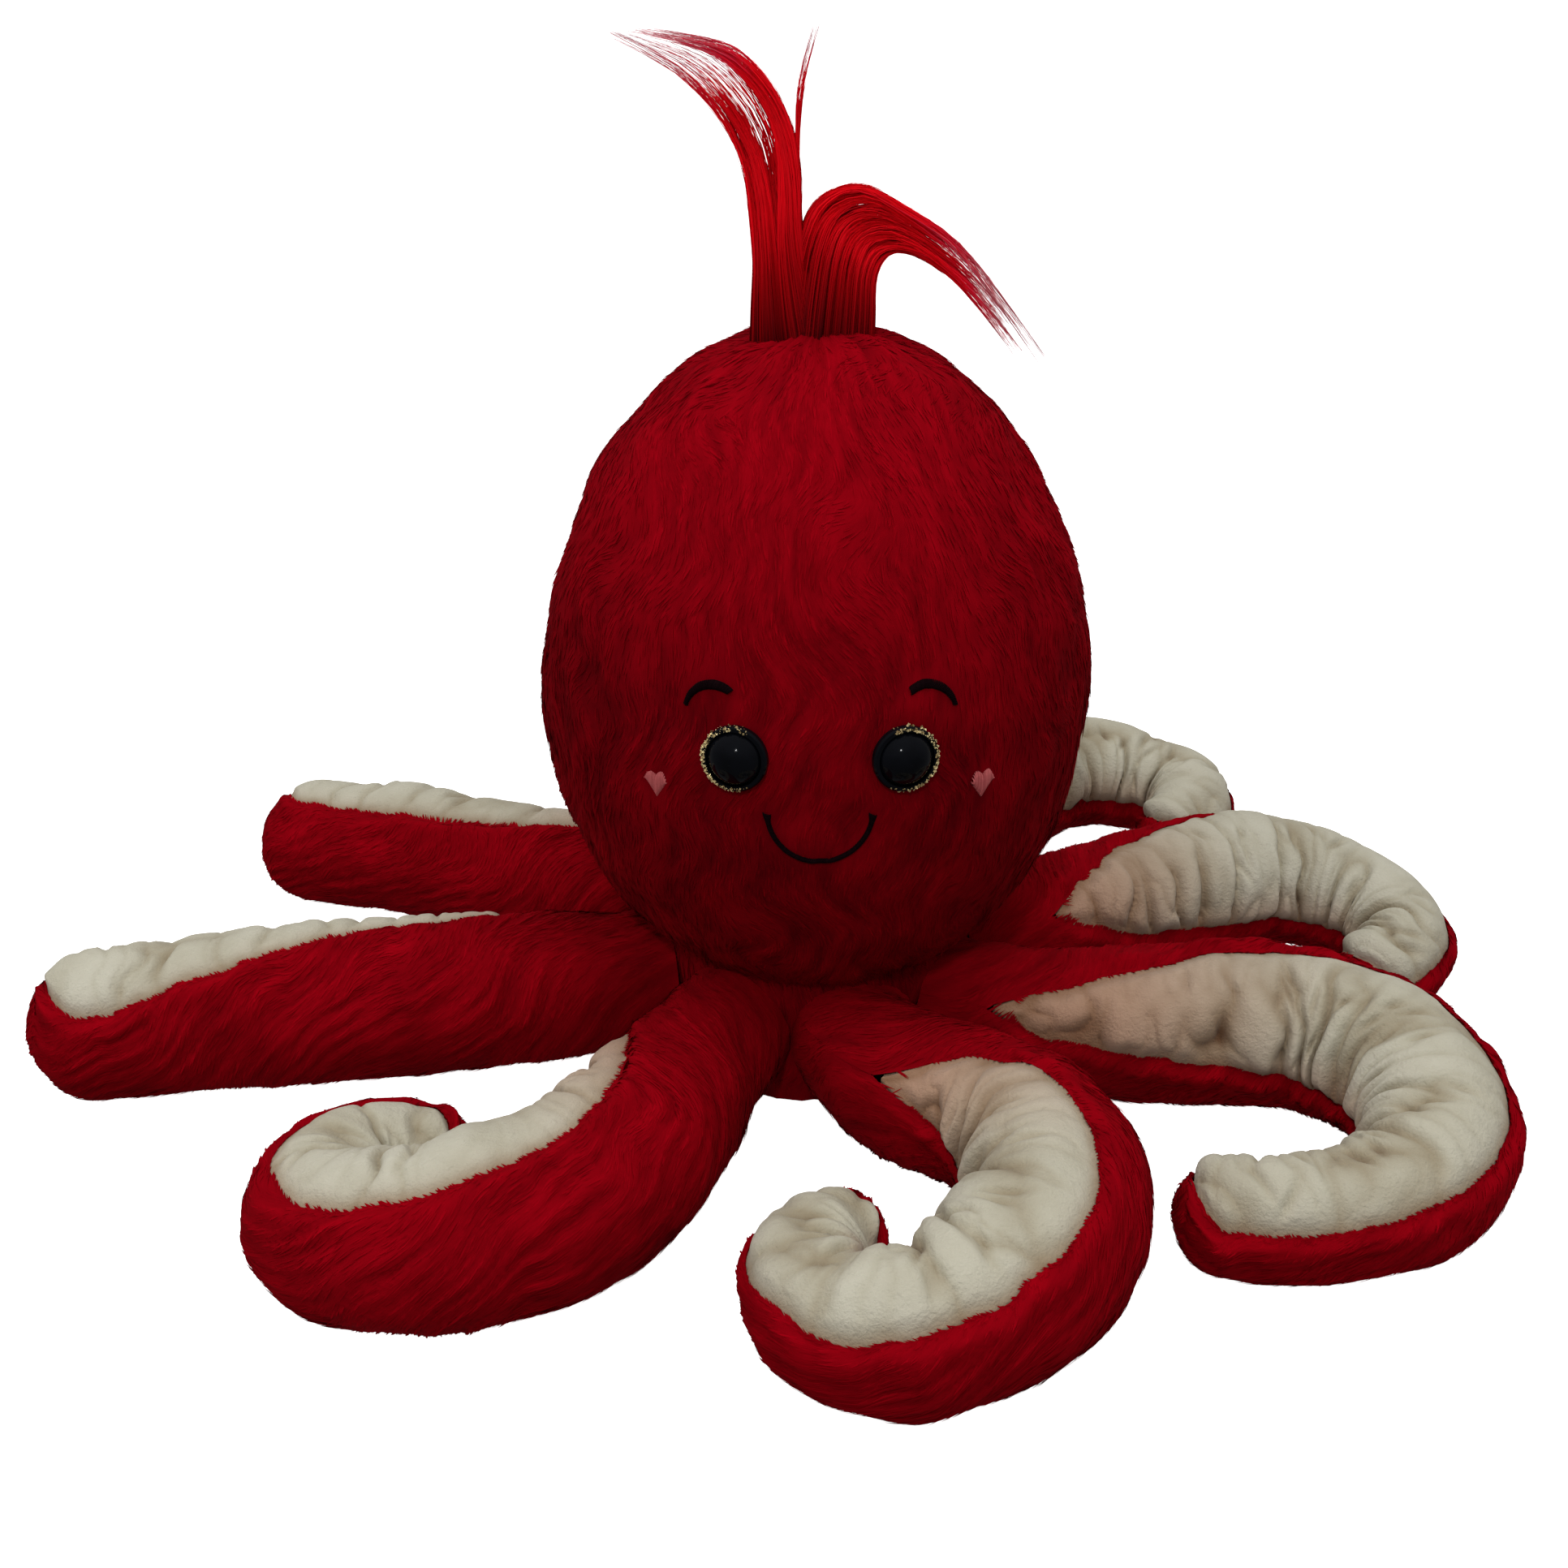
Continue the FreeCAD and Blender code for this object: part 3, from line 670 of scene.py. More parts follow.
# ---- fabric from a skin ---------------------------------------------------------------
def fabric(skin, first, last, rows, columns, start=0.0, end=1.0):
    """Mesh arrays of a strip of a skin between two distances along it."""
    step = (last - first) / (rows - 1)
    along = np.linspace(first - step, last + step, rows + 2)
    across = np.linspace(start, end, columns)
    across, along = np.meshgrid(across, along)
    points, _ = skin.surface(across, along)
    points = keep_off_floor(points)
    by_across = np.gradient(points, axis=1)
    by_along = np.gradient(points, axis=0)
    normals = unit(np.cross(by_across, by_along)) * skin.outward
    inside = slice(1, -1)
    quads = grid_quads(rows, columns, skin.outward < 0)
    return (points[inside], quads, across[inside], along[inside], normals[inside])


def tufts(skin, across, along, generator, lean=0.0):
    """Short ribbons of pile that lie along a skin, four points long."""
    count = len(across)
    length = np.minimum(generator.uniform(*TUFT_LENGTH, count), skin.room(across, along))
    width = generator.uniform(*TUFT_WIDTH, count)
    rise = TUFT_RISE[0] + (TUFT_RISE[1] - TUFT_RISE[0]) * generator.random(count) ** 2
    roll = np.radians(generator.uniform(-22, 22, count))
    tint = generator.normal(0, 0.045, count)
    direction = skin.flow(across, along)
    direction[:, 0] += lean
    direction = unit(direction)
    wide = np.maximum(skin.scale(across, along), 12.0)
    middle_across = across + direction[:, 0] * length * 0.4 / wide
    facing = skin.folded_normals(middle_across, along + direction[:, 1] * length * 0.4)
    lefts, rights, shades, lies = [], [], [], []
    for share, part in ((0.0, 0.8), (0.35, 1.0), (0.7, 0.7), (1.0, 0.12)):
        here_across = across + direction[:, 0] * length * share / wide
        here_along = along + direction[:, 1] * length * share
        lift = -0.3 + (rise + 0.3) * share ** 0.7
        points, normal = skin.surface(here_across, here_along, lift)
        sideways = unit(skin.flat(here_across + 0.2 / wide, here_along)
                        - skin.flat(here_across - 0.2 / wide, here_along))
        forward = unit(np.cross(normal, sideways))
        lateral = unit(forward * direction[:, :1] - sideways * direction[:, 1:] * skin.outward)
        lateral = lateral * np.cos(roll)[:, None] + normal * np.sin(roll)[:, None]
        half = (width * part / 2)[:, None]
        lefts.append(points - lateral * half)
        rights.append(points + lateral * half)
        pile = skin.clump(here_across, here_along, points)
        # painted shade: each tuft darker at its root and lighter toward its end
        value = 0.47 + 0.17 * pile + tint + 0.12 * (share - 0.3)
        # painted shade: darker low on the body and near the roots of the arms
        shades.append(value - skin.painted_shade(here_along, points))
        lies.append(skin.lie_of(here_across, here_along, points))
    points = np.stack([each for pair in zip(lefts, rights) for each in pair], 1)
    points = keep_off_floor(points)
    facing = unit(facing + 0.3 * np.sin(roll)[:, None] * (rights[1] - lefts[1]))
    normals = np.repeat(facing[:, None], 8, axis=1)
    shades = np.repeat(np.stack(shades, 1), 2, axis=1)
    lies = np.repeat(np.stack(lies, 1), 2, axis=1)
    ribbon = np.array([[1, 0, 2, 3], [3, 2, 4, 5], [5, 4, 6, 7]])
    quads = (np.arange(count)[:, None, None] * 8 + ribbon).reshape(-1, 4)
    return points.reshape(-1, 3), quads, shades, normals, lies


# ---- materials ------------------------------------------------------------------------
class Nodes:
    """Short way to build a node material."""

    def __init__(self, name):
        self.material = bpy.data.materials.new(name)
        self.material.use_nodes = True
        self.tree = self.material.node_tree
        self.shader = self.tree.nodes["Principled BSDF"]

    def add(self, kind, **values):
        node = self.tree.nodes.new(kind)
        for key, value in values.items():
            if hasattr(node, key):
                setattr(node, key, value)
            else:
                node.inputs[key.replace("_", " ")].default_value = value
        return node

    def link(self, source, target):
        self.tree.links.new(source, target)

    def set(self, **values):
        for key, value in values.items():
            self.shader.inputs[key.replace("_", " ")].default_value = value

    def ramp(self, source, stops):
        node = self.tree.nodes.new("ShaderNodeValToRGB")
        elements = node.color_ramp.elements
        while len(elements) < len(stops):
            elements.new(0.5)
        for element, (place, colour) in zip(elements, stops):
            element.position = place
            element.color = (*colour, 1.0)
        self.link(source, node.inputs["Fac"])
        return node.outputs["Color"]

    def paint(self, source, stops):
        """Colour of the surface, from a value by way of a ramp."""
        self.link(self.ramp(source, stops), self.shader.inputs["Base Color"])

    def position(self):
        return self.add("ShaderNodeTexCoord").outputs["Object"]

    def noise(self, size, detail=2.0, rough=0.5):
        """Noise with features of a size in millimetres."""
        node = self.add("ShaderNodeTexNoise", Scale=1.0 / (size * MM), Detail=detail, Roughness=rough)
        self.link(self.position(), node.inputs["Vector"])
        return node.outputs["Fac"]

    def math(self, operation, first, second):
        node = self.add("ShaderNodeMath", operation=operation)
        for socket, value in zip(node.inputs, (first, second)):
            if isinstance(value, (int, float)):
                socket.default_value = value
            else:
                self.link(value, socket)
        return node.outputs["Value"]

    def attribute(self, name):
        return self.add("ShaderNodeAttribute", attribute_name=name).outputs["Fac"]

    def fibres(self, wide, long, detail=2.0):
        """Noise stretched along the lie of the pile, sizes in millimetres."""
        lie = self.add("ShaderNodeAttribute", attribute_name="lie").outputs["Vector"]
        scaled = self.add("ShaderNodeVectorMath", operation="MULTIPLY")
        self.link(lie, scaled.inputs[0])
        scaled.inputs[1].default_value = (1.0 / wide, 1.0 / long, 0.0)
        node = self.add("ShaderNodeTexNoise", Scale=1.0, Detail=detail)
        self.link(scaled.outputs["Vector"], node.inputs["Vector"])
        return node.outputs["Fac"]

    def spread(self, value, amount):
        """A value from 0 to 1 turned into a small change round zero."""
        return self.math("MULTIPLY", self.math("SUBTRACT", value, 0.5), amount)

    def bump(self, height, distance, strength=1.0):
        node = self.add("ShaderNodeBump", Distance=distance * MM, Strength=strength)
        self.link(height, node.inputs["Height"])
        self.link(node.outputs["Normal"], self.shader.inputs["Normal"])


def red_pile():
    """Crimson pile; painted shade makes it darker at the roots of its locks and lighter at their ends.
    """
    nodes = Nodes("red_pile")
    fibres = nodes.fibres(0.5, 5.0)
    value = nodes.math("ADD", nodes.attribute("shade"), nodes.spread(nodes.noise(16.0), 0.26))
    value = nodes.math("ADD", value, nodes.spread(nodes.fibres(2.2, 9.0), 0.24))
    value = nodes.math("ADD", value, nodes.spread(fibres, 0.18))
    nodes.paint(value, [(0.0, (0.080, 0.0002, 0.0024)), (0.45, (0.235, 0.0004, 0.0044)),
                        (1.0, (0.43, 0.0008, 0.0080))])
    nodes.bump(fibres, 0.12, 0.8)
    nodes.set(Roughness=0.9, Specular_IOR_Level=0.015, Sheen_Weight=0.06, Sheen_Roughness=0.4,
              Sheen_Tint=(1.0, 0.02, 0.03, 1.0))
    return nodes.material


def cream_plush():
    """Cream crinkled plush with painted warm shade in its creases and painted red-tinted shade toward
    the red pile.
    """
    nodes = Nodes("cream_plush")
    value = nodes.math("ADD", nodes.attribute("shade"), nodes.spread(nodes.noise(6.0), 0.22))
    colour = nodes.ramp(value, [(0.0, (0.14, 0.085, 0.045)), (0.35, (0.33, 0.28, 0.19)),
                                (0.72, (0.475, 0.445, 0.345)), (1.0, (0.56, 0.535, 0.435))])
    # painted red-tinted shade, multiplied over the colour
    painted_red_shade = nodes.add("ShaderNodeMix", data_type="RGBA", blend_type="MULTIPLY")
    nodes.link(nodes.attribute("painted_red_shade"), painted_red_shade.inputs["Factor"])
    nodes.link(colour, painted_red_shade.inputs[6])
    painted_red_shade.inputs[7].default_value = (0.80, 0.47, 0.38, 1.0)
    nodes.link(painted_red_shade.outputs[2], nodes.shader.inputs["Base Color"])
    pile = nodes.math("ADD", nodes.noise(0.8, 3.0, 0.6), nodes.math("MULTIPLY", nodes.noise(2.6), 1.2))
    nodes.bump(pile, 0.5, 0.8)
    nodes.set(Roughness=0.9, Specular_IOR_Level=0.12, Sheen_Weight=0.15, Sheen_Roughness=0.5,
              Sheen_Tint=(1.0, 0.97, 0.88, 1.0))
    return nodes.material


def tuft_hair():
    """Long fine hair of the tuft; painted shade darkens its base and painted light makes its thin ends
    pale.
    """
    nodes = Nodes("tuft_hair")
    nodes.paint(nodes.attribute("shade"), [
        (0.0, (0.045, 0.0002, 0.0015)), (0.35, (0.42, 0.0006, 0.0035)),
        (0.70, (0.86, 0.0015, 0.008)), (0.85, (0.70, 0.02, 0.06)), (1.0, (0.55, 0.30, 0.33))])
    nodes.bump(nodes.noise(0.5), 0.05, 0.4)
    nodes.set(Roughness=0.6, Specular_IOR_Level=0.05)
    return nodes.material


def black_gloss():
    """Moulded black plastic under a clear coat."""
    nodes = Nodes("black_gloss")
    nodes.paint(nodes.noise(4.0), [(0.3, (0.0018, 0.0020, 0.0030)), (0.7, (0.0028, 0.0032, 0.0050))])
    nodes.bump(nodes.noise(3.0), 0.01, 0.2)
    nodes.set(Roughness=0.1, Specular_IOR_Level=0.07)
    return nodes.material


def gold_glitter():
    """Gold grains at every angle, with painted glints: each grain's brightness comes from its shade and
    a random value per cell.
    """
    nodes = Nodes("gold_glitter")
    cells = nodes.add("ShaderNodeTexVoronoi", Scale=1.0 / (0.55 * MM))
    nodes.link(nodes.position(), cells.inputs["Vector"])
    split = nodes.add("ShaderNodeSeparateColor")
    nodes.link(cells.outputs["Color"], split.inputs["Color"])
    value = nodes.math("ADD", nodes.attribute("shade"), nodes.spread(split.outputs["Red"], 0.3))
    nodes.paint(value, [(0.0, (0.012, 0.006, 0.004)), (0.40, (0.20, 0.12, 0.04)),
                        (0.85, (1.0, 0.82, 0.42))])
    nodes.bump(split.outputs["Green"], 0.5, 1.0)
    nodes.set(Metallic=0.45, Roughness=0.3)
    return nodes.material


def thread(name, dark, light):
    """Embroidery thread with fine twisted fibres."""
    nodes = Nodes(name)
    value = nodes.math("ADD", nodes.attribute("shade"), nodes.math("MULTIPLY", nodes.noise(0.4), 0.3))
    nodes.paint(value, [(0.1, dark), (1.0, light)])
    nodes.bump(nodes.noise(0.25), 0.08, 0.6)
    nodes.set(Roughness=0.8, Specular_IOR_Level=0.03)
    return nodes.material


def pale_floor():
    """Plain pale floor."""
    nodes = Nodes("pale_floor")
    nodes.paint(nodes.noise(60.0), [(0.0, (0.86, 0.86, 0.86)), (1.0, (0.90, 0.90, 0.90))])
    nodes.set(Roughness=0.7, Emission_Color=(1.0, 1.0, 1.0, 1.0), Emission_Strength=1.0)
    return nodes.material


# ---- body -----------------------------------------------------------------------------
def random_spots(skin, first, last, start, end, generator, density):
    """Evenly scattered (across, along) places on part of a skin."""
    cells = np.linspace(first, last, 200)
    middle = np.full_like(cells, (start + end) / 2)
    widths = skin.scale(middle, cells) * (end - start)
    area = widths.mean() * (last - first)
    count = int(area * density)
    share = np.cumsum(widths)
    share = (share - share[0]) / (share[-1] - share[0])
    along = np.interp(generator.random(count), share, cells)
    return generator.uniform(start, end, count), along


def make_body_half(label, start, end):
    """Half of the pile cover, with its tufts."""
    generator = np.random.default_rng(41 + int(start * 10))
    rows = int(BODY.length / BODY_CELL)
    columns = int(math.pi * BODY_RADIUS / BODY_CELL)
    crown = BODY.length - CROWN_OPEN
    points, quads, across, along, normals = fabric(BODY, 0.2, crown, rows, columns, start, end)
    # the cover's shade includes painted shade, darker low on the body
    shade = PILE_SHADE + LOCK_SHADE["body"] * BODY.clump(across, along, points) - BODY.painted_shade(along, points)
    cover = (points, quads, shade, normals, BODY.lie_of(across, along, points))
    top = BODY.length - CROWN_BARE
    spots = random_spots(BODY, NECK_BARE, top, start, end, generator, BODY_TUFTS_PER_AREA)
    keep = np.ones(len(spots[0]), bool)
    direction = BODY.flow(*spots)
    wide = np.maximum(BODY.scale(*spots), 12.0)
    for reach in (0.0, 0.35, 0.7, 1.0):
        onward = TUFT_LENGTH[1] * reach
        points = BODY.flat(spots[0] + direction[:, 0] * onward / wide,
                           spots[1] + direction[:, 1] * onward)
        keep &= ~over_face(points)
    pile = tufts(BODY, spots[0][keep], spots[1][keep], generator)
    piece = pile_object("body_pile_" + label, [cover, pile])
    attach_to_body(piece, "body")
    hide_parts("body_fur_" + label, "body_filling", "eye_washer_" + label)


def over_face(points):
    """Whether pile at these places would hide the eyes or the stitches of the face."""
    hidden = np.zeros(len(points), bool)
    lines = [(MOUTH, 1.3)]
    for side in (-1, 1):
        lines.append(([(side * azimuth, level) for azimuth, level in BROW], 1.7))
    for line, clear in lines:
        for point in embroidery_path(line, 24):
            hidden |= np.linalg.norm(points - point, axis=-1) < clear
    for side in (-1, 1):
        point = surface_point(side * HEART_AZIMUTH, HEART_LEVEL)
        hidden |= np.linalg.norm(points - point, axis=-1) < HEART_WIDTH * 0.48
        point = surface_point(side * EYE_AZIMUTH, EYE_LEVEL)
        toward_middle = smoothstep(0.5 - side * (points[:, 0] - point[0]) / RING_RADIUS)
        clear = RING_RADIUS + 0.2 - 1.3 * toward_middle
        hidden |= np.linalg.norm(points - point, axis=-1) < clear
    return hidden


def pile_object(name, parts):
    """Piece of red pile from several arrays."""
    points, quads, shade, normals, lie = joined(parts)
    return mesh_object(name, points, quads, MATERIALS["red_pile"], shade, normals, lie)


def make_base_panel():
    """Cream panel under the body, pressed flat where it stands."""
    turns = np.linspace(0, 2 * math.pi, 121)
    profile = [(0.5, 0.3), (20, 0.3), (36, 0.3), (39.5, 0.35), (41.0, 0.8), (41.4, 1.2), (40.8, 1.7),
               (38.0, 2.2), (20, 2.2), (0.5, 2.2)]
    rows = []
    for radius, level in profile:
        rows.append(np.stack([radius * np.sin(turns), -radius * np.cos(turns), 0 * turns + level], -1))
    points = np.array(rows)
    wave = 0.18 * noise(points, 6.0, 61)
    points[..., 2] = np.maximum(points[..., 2] + wave * (points[..., 2] > 0.5), FLOOR_CLEAR)
    shade = 0.75 + 0.1 * noise(points, 8.0, 62)
    quads = grid_quads(len(profile), len(turns), True)
    piece = mesh_object("base_cloth", points, quads, MATERIALS["cream_plush"], shade)
    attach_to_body(piece, "body")
    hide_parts("base_panel")


# ---- face -----------------------------------------------------------------------------
def embroidery_path(line, count):
    """Points on the fabric of the body along the arc through three (azimuth, level) pairs."""
    places = np.array(line, float)
    stretch = math.radians(surface_radius(places[1, 1]))
    flat = places * np.array([stretch, 1.0])
    (ax, ay), (bx, by), (cx, cy) = flat
    double = 2 * (ax * (by - cy) + bx * (cy - ay) + cx * (ay - by))
    squares = [x * x + y * y for x, y in flat]
    centre_x = (squares[0] * (by - cy) + squares[1] * (cy - ay) + squares[2] * (ay - by)) / double
    centre_y = (squares[0] * (cx - bx) + squares[1] * (ax - cx) + squares[2] * (bx - ax)) / double
    turns = np.unwrap([math.atan2(y - centre_y, x - centre_x) for x, y in flat])
    radius = math.hypot(ax - centre_x, ay - centre_y)
    turn = np.interp(np.linspace(0, 2, count), [0, 1, 2], turns)
    azimuth = (centre_x + radius * np.cos(turn)) / stretch
    return fabric_point(azimuth, centre_y + radius * np.sin(turn))


def surface_radius(level):
    """Radius of the smooth body at a level."""
    return float(np.interp(BODY.at_level(level), BODY.reach, BODY.outline[:, 0]))


def fabric_point(azimuth, level):
    """Points on the folded fabric of the body."""
    across = np.asarray(azimuth, float) / 360.0
    along = BODY.at_level(np.asarray(level, float))
    return BODY.surface(across, along)[0]


def stitch_tubes(starts, ends, normals, arch, seed):
    """Threads laid side by side, each an arched tube with tucked ends."""
    generator = np.random.default_rng(seed)
    count = len(starts)
    sides = THREAD_SIDES
    steps = np.linspace(0, 1, THREAD_STEPS)
    along = unit(ends - starts)
    lateral = unit(np.cross(normals, along))
    tint = generator.normal(0, 0.12, count)
    points, shades = [], []
    for share in steps:
        lift = arch * (1 - (2 * share - 1) ** 4) - 0.1
        middle = starts + (ends - starts) * share + normals * lift
        for corner in range(sides):
            turn = 2 * math.pi * corner / sides
            points.append(middle + THREAD_RADIUS * (lateral * math.cos(turn)
                                                    + normals * math.sin(turn)))
            # painted shade: each thread lighter on its outer side and darker underneath
            shades.append(0.45 + tint + 0.12 * math.sin(turn))
    points = np.stack(points, 1)
    shades = np.stack(shades, 1)
    faces = []
    for row in range(len(steps) - 1):
        for corner in range(sides):
            after = (corner + 1) % sides
            faces.append([row * sides + corner, row * sides + after,
                          (row + 1) * sides + after, (row + 1) * sides + corner])
    faces = np.array(faces)
    quads = (np.arange(count)[:, None, None] * len(steps) * sides + faces).reshape(-1, 4)
    return points.reshape(-1, 3), quads, shades.ravel()


def body_normals(points):
    """Outward normals of the body at points near its face."""
    turn = np.arctan2(points[:, 0], -points[:, 1]) / (2 * math.pi)
    return BODY.base(turn, BODY.at_level(points[:, 2]))[1]


def satin_line(name, node, line, width, seed):
    """Black satin stitch along a curve: threads across it, side by side."""
    path = embroidery_path(line, 200)
    length = np.linalg.norm(np.diff(path, axis=0), axis=-1).sum()
    count = int(length / THREAD_SPACING)
    at = np.linspace(0, 1, count)
    spots = np.stack([np.interp(at, np.linspace(0, 1, 200), path[:, axis]) for axis in range(3)], -1)
    forward = unit(np.gradient(spots, axis=0))
    normals = body_normals(spots)
    lateral = unit(np.cross(normals, forward))
    slant = unit(lateral + 0.35 * forward)
    half = width(at)[:, None] / 2
    points, quads, shade = stitch_tubes(spots - slant * half, spots + slant * half, normals,
                                        0.75, seed)
    piece = mesh_object(name, points, quads, MATERIALS["black_thread"], shade)
    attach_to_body(piece, "body")
    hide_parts(node)


def face_axes(foot):
    """Outward, upward and sideways directions at a point of the body."""
    normal = body_normals(foot)
    up = unit(np.array([[0.0, 0.0, 1.0]]) - normal * normal[:, 2:])
    return normal, up, np.cross(up, normal)


def heart_outline(share):
    """Top and bottom of a heart at a share of its width, as shares of its height."""
    half = 2 * abs(share - 0.5)
    bottom = -0.5 + 0.62 * half
    lobe = abs(half - 0.52) / 0.52
    top = 0.5 - 0.16 * lobe ** 2 if half < 0.52 else 0.5 - 0.38 * ((half - 0.52) / 0.48) ** 2
    return top, bottom


def satin_heart(label, side):
    """Heart of upright satin stitches on the cheek."""
    foot = fabric_point([side * HEART_AZIMUTH], [HEART_LEVEL])
    normal, up, right = face_axes(foot)
    starts, ends = [], []
    for share in np.linspace(0.01, 0.99, HEART_THREADS):
        top, bottom = heart_outline(share)
        offset = foot + right * (share - 0.5) * HEART_WIDTH
        starts.append(offset + up * bottom * HEART_HEIGHT)
        ends.append(offset + up * top * HEART_HEIGHT)
    starts, ends = np.concatenate(starts), np.concatenate(ends)
    normals = np.repeat(normal, len(starts), axis=0)
    points, quads, shade = stitch_tubes(starts, ends, normals, 0.62, 72 + side)
    piece = mesh_object("heart_stitches_" + label, points, quads, MATERIALS["pink_thread"], shade)
    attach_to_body(piece, "body")
    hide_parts("heart_" + label)


def glitter_grains(label, side):
    """Grains of glitter on the dark ring round an eye, most of them on its outer side; each grain's
    shade is a painted glint, brighter on the outer side.
    """
    generator = np.random.default_rng(80 + side)
    count = GLITTER_COUNT
    foot = surface_point(side * EYE_AZIMUTH, EYE_LEVEL)[None]
    normal, up, right = face_axes(foot)
    turn = generator.uniform(0, 2 * math.pi, count)
    radius = generator.uniform(RING_RADIUS - 1.0, RING_RADIUS + 0.3, count)
    outer = 0.5 + 0.5 * np.cos(turn - (0.0 if side > 0 else math.pi))
    # painted glint: the brightness of each grain, stronger toward the outer side
    shade = generator.random(count) * (0.25 + 0.95 * outer)
    seen = shade > LEAST_GLINT
    turn, radius, shade = turn[seen], radius[seen], shade[seen]
    count = len(turn)
    lift = RING_LIP + 0.3 - np.maximum(radius - RING_RADIUS + 0.4, 0) * 2.2
    centre = (foot + right * (radius * np.cos(turn))[:, None]
              + up * (radius * np.sin(turn))[:, None] + normal * lift[:, None])
    first = unit(generator.normal(size=(count, 3)) + 0.6 * right)
    second = unit(np.cross(first, unit(generator.normal(size=(count, 3)) * 0.6 + normal)))
    size = (0.14 + 0.30 * generator.random(count) ** 2)[:, None]
    third = np.cross(first, second) * 0.35
    corners = [centre + first * size, centre + second * size, centre - first * size,
               centre - second * size]
    points = np.stack([corner + third * size for corner in corners]
                      + [corner - third * size for corner in corners], 1)
    box = np.array([[0, 1, 2, 3], [7, 6, 5, 4], [0, 4, 5, 1], [1, 5, 6, 2], [2, 6, 7, 3], [3, 7, 4, 0]])
    quads = (np.arange(count)[:, None, None] * 8 + box).reshape(-1, 4)
    piece = mesh_object("eye_glitter_" + label, points.reshape(-1, 3), quads,
                        MATERIALS["gold_glitter"], np.repeat(shade, 8))
    piece.data.polygons.foreach_set("use_smooth", np.zeros(len(piece.data.polygons), bool))
    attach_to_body(piece, "body")


def repaint(node, material):
    """Give a frame piece a better material."""
    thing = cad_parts[node]
    for place in thing.material_slots:
        place.link = "OBJECT"
        place.material = MATERIALS[material]


def brow_width(at):
    """Width of an eyebrow at shares of its length, thickest near its inner end."""
    return 1.4 + 1.2 * np.sin(np.pi * np.clip(at * 0.9 + 0.15, 0, 1)) ** 0.8


def mouth_width(at):
    """Width of the smile, with a small knot at each corner."""
    return 1.35 + 0.9 * np.exp(-(np.minimum(at, 1 - at) / 0.035) ** 2)


def make_face():
    """Eyes, glitter and embroidery."""
    for side, label in ((-1, "left"), (1, "right")):
        repaint("eye_" + label, "black_gloss")
        repaint("eye_ring_" + label, "black_gloss")
        glitter_grains(label, side)
        line = [(side * azimuth, level) for azimuth, level in BROW]
        satin_line("brow_stitches_" + label, "brow_" + label, line, brow_width, 74 + side)
        satin_heart(label, side)
    satin_line("mouth_stitches", "mouth", MOUTH, mouth_width, 77)


# ---- tuft -----------------------------------------------------------------------------
# edges of each lock as (x, z) along it, from the root to the tip
LEFT_OUTER = [(-17.6, 205), (-17.0, 218), (-16.4, 230), (-17.5, 244), (-19.4, 253.5), (-25.2, 263.7),
              (-35.4, 273.3), (-51.0, 281.2)]
LEFT_INNER = [(3.0, 205), (-1.0, 218), (-4.3, 236), (-4.8, 249.7), (-7.6, 261.9), (-14.0, 271.8),
              (-23.5, 278.6), (-44.0, 281.8)]
RIGHT_OUTER = [(14.2, 205), (14.4, 216), (14.6, 225), (17.8, 230.0), (25.0, 229.5), (35.3, 223.3),
               (45.0, 213.0), (52.0, 204.5)]
RIGHT_INNER = [(-9.0, 205), (-7.0, 222), (-4.0, 236), (0.5, 243.6), (9.2, 246.6), (20.0, 241.8),
               (36.0, 231.0), (58.5, 203.0)]
WISP = [(-4.0, 205), (-4.6, 230), (-5.2, 250), (-5.2, 262), (-4.0, 272), (-1.0, 283)]
FUZZ = [(-8.0, 205), (-6.0, 222), (-2.0, 240), (5.0, 250.0), (14.0, 256.0)]
HAIR_STEPS = 16


def guide(edge, share):
    """Points at shares of the way along an edge, on a smooth curve."""
    places = np.array(edge, float)
    at = np.clip(share, 0, 1) * (len(places) - 1)
    index = np.clip(at.astype(int), 0, len(places) - 2)
    part = (at - index)[..., None]
    before = places[np.maximum(index - 1, 0)]
    here, onward = places[index], places[index + 1]
    after = places[np.minimum(index + 2, len(places) - 1)]
    tangent_here = (onward - before) / 2
    tangent_onward = (after - here) / 2
    square, cube = part ** 2, part ** 3
    return ((2 * cube - 3 * square + 1) * here + (cube - 2 * square + part) * tangent_here
            + (3 * square - 2 * cube) * onward + (cube - square) * tangent_onward)


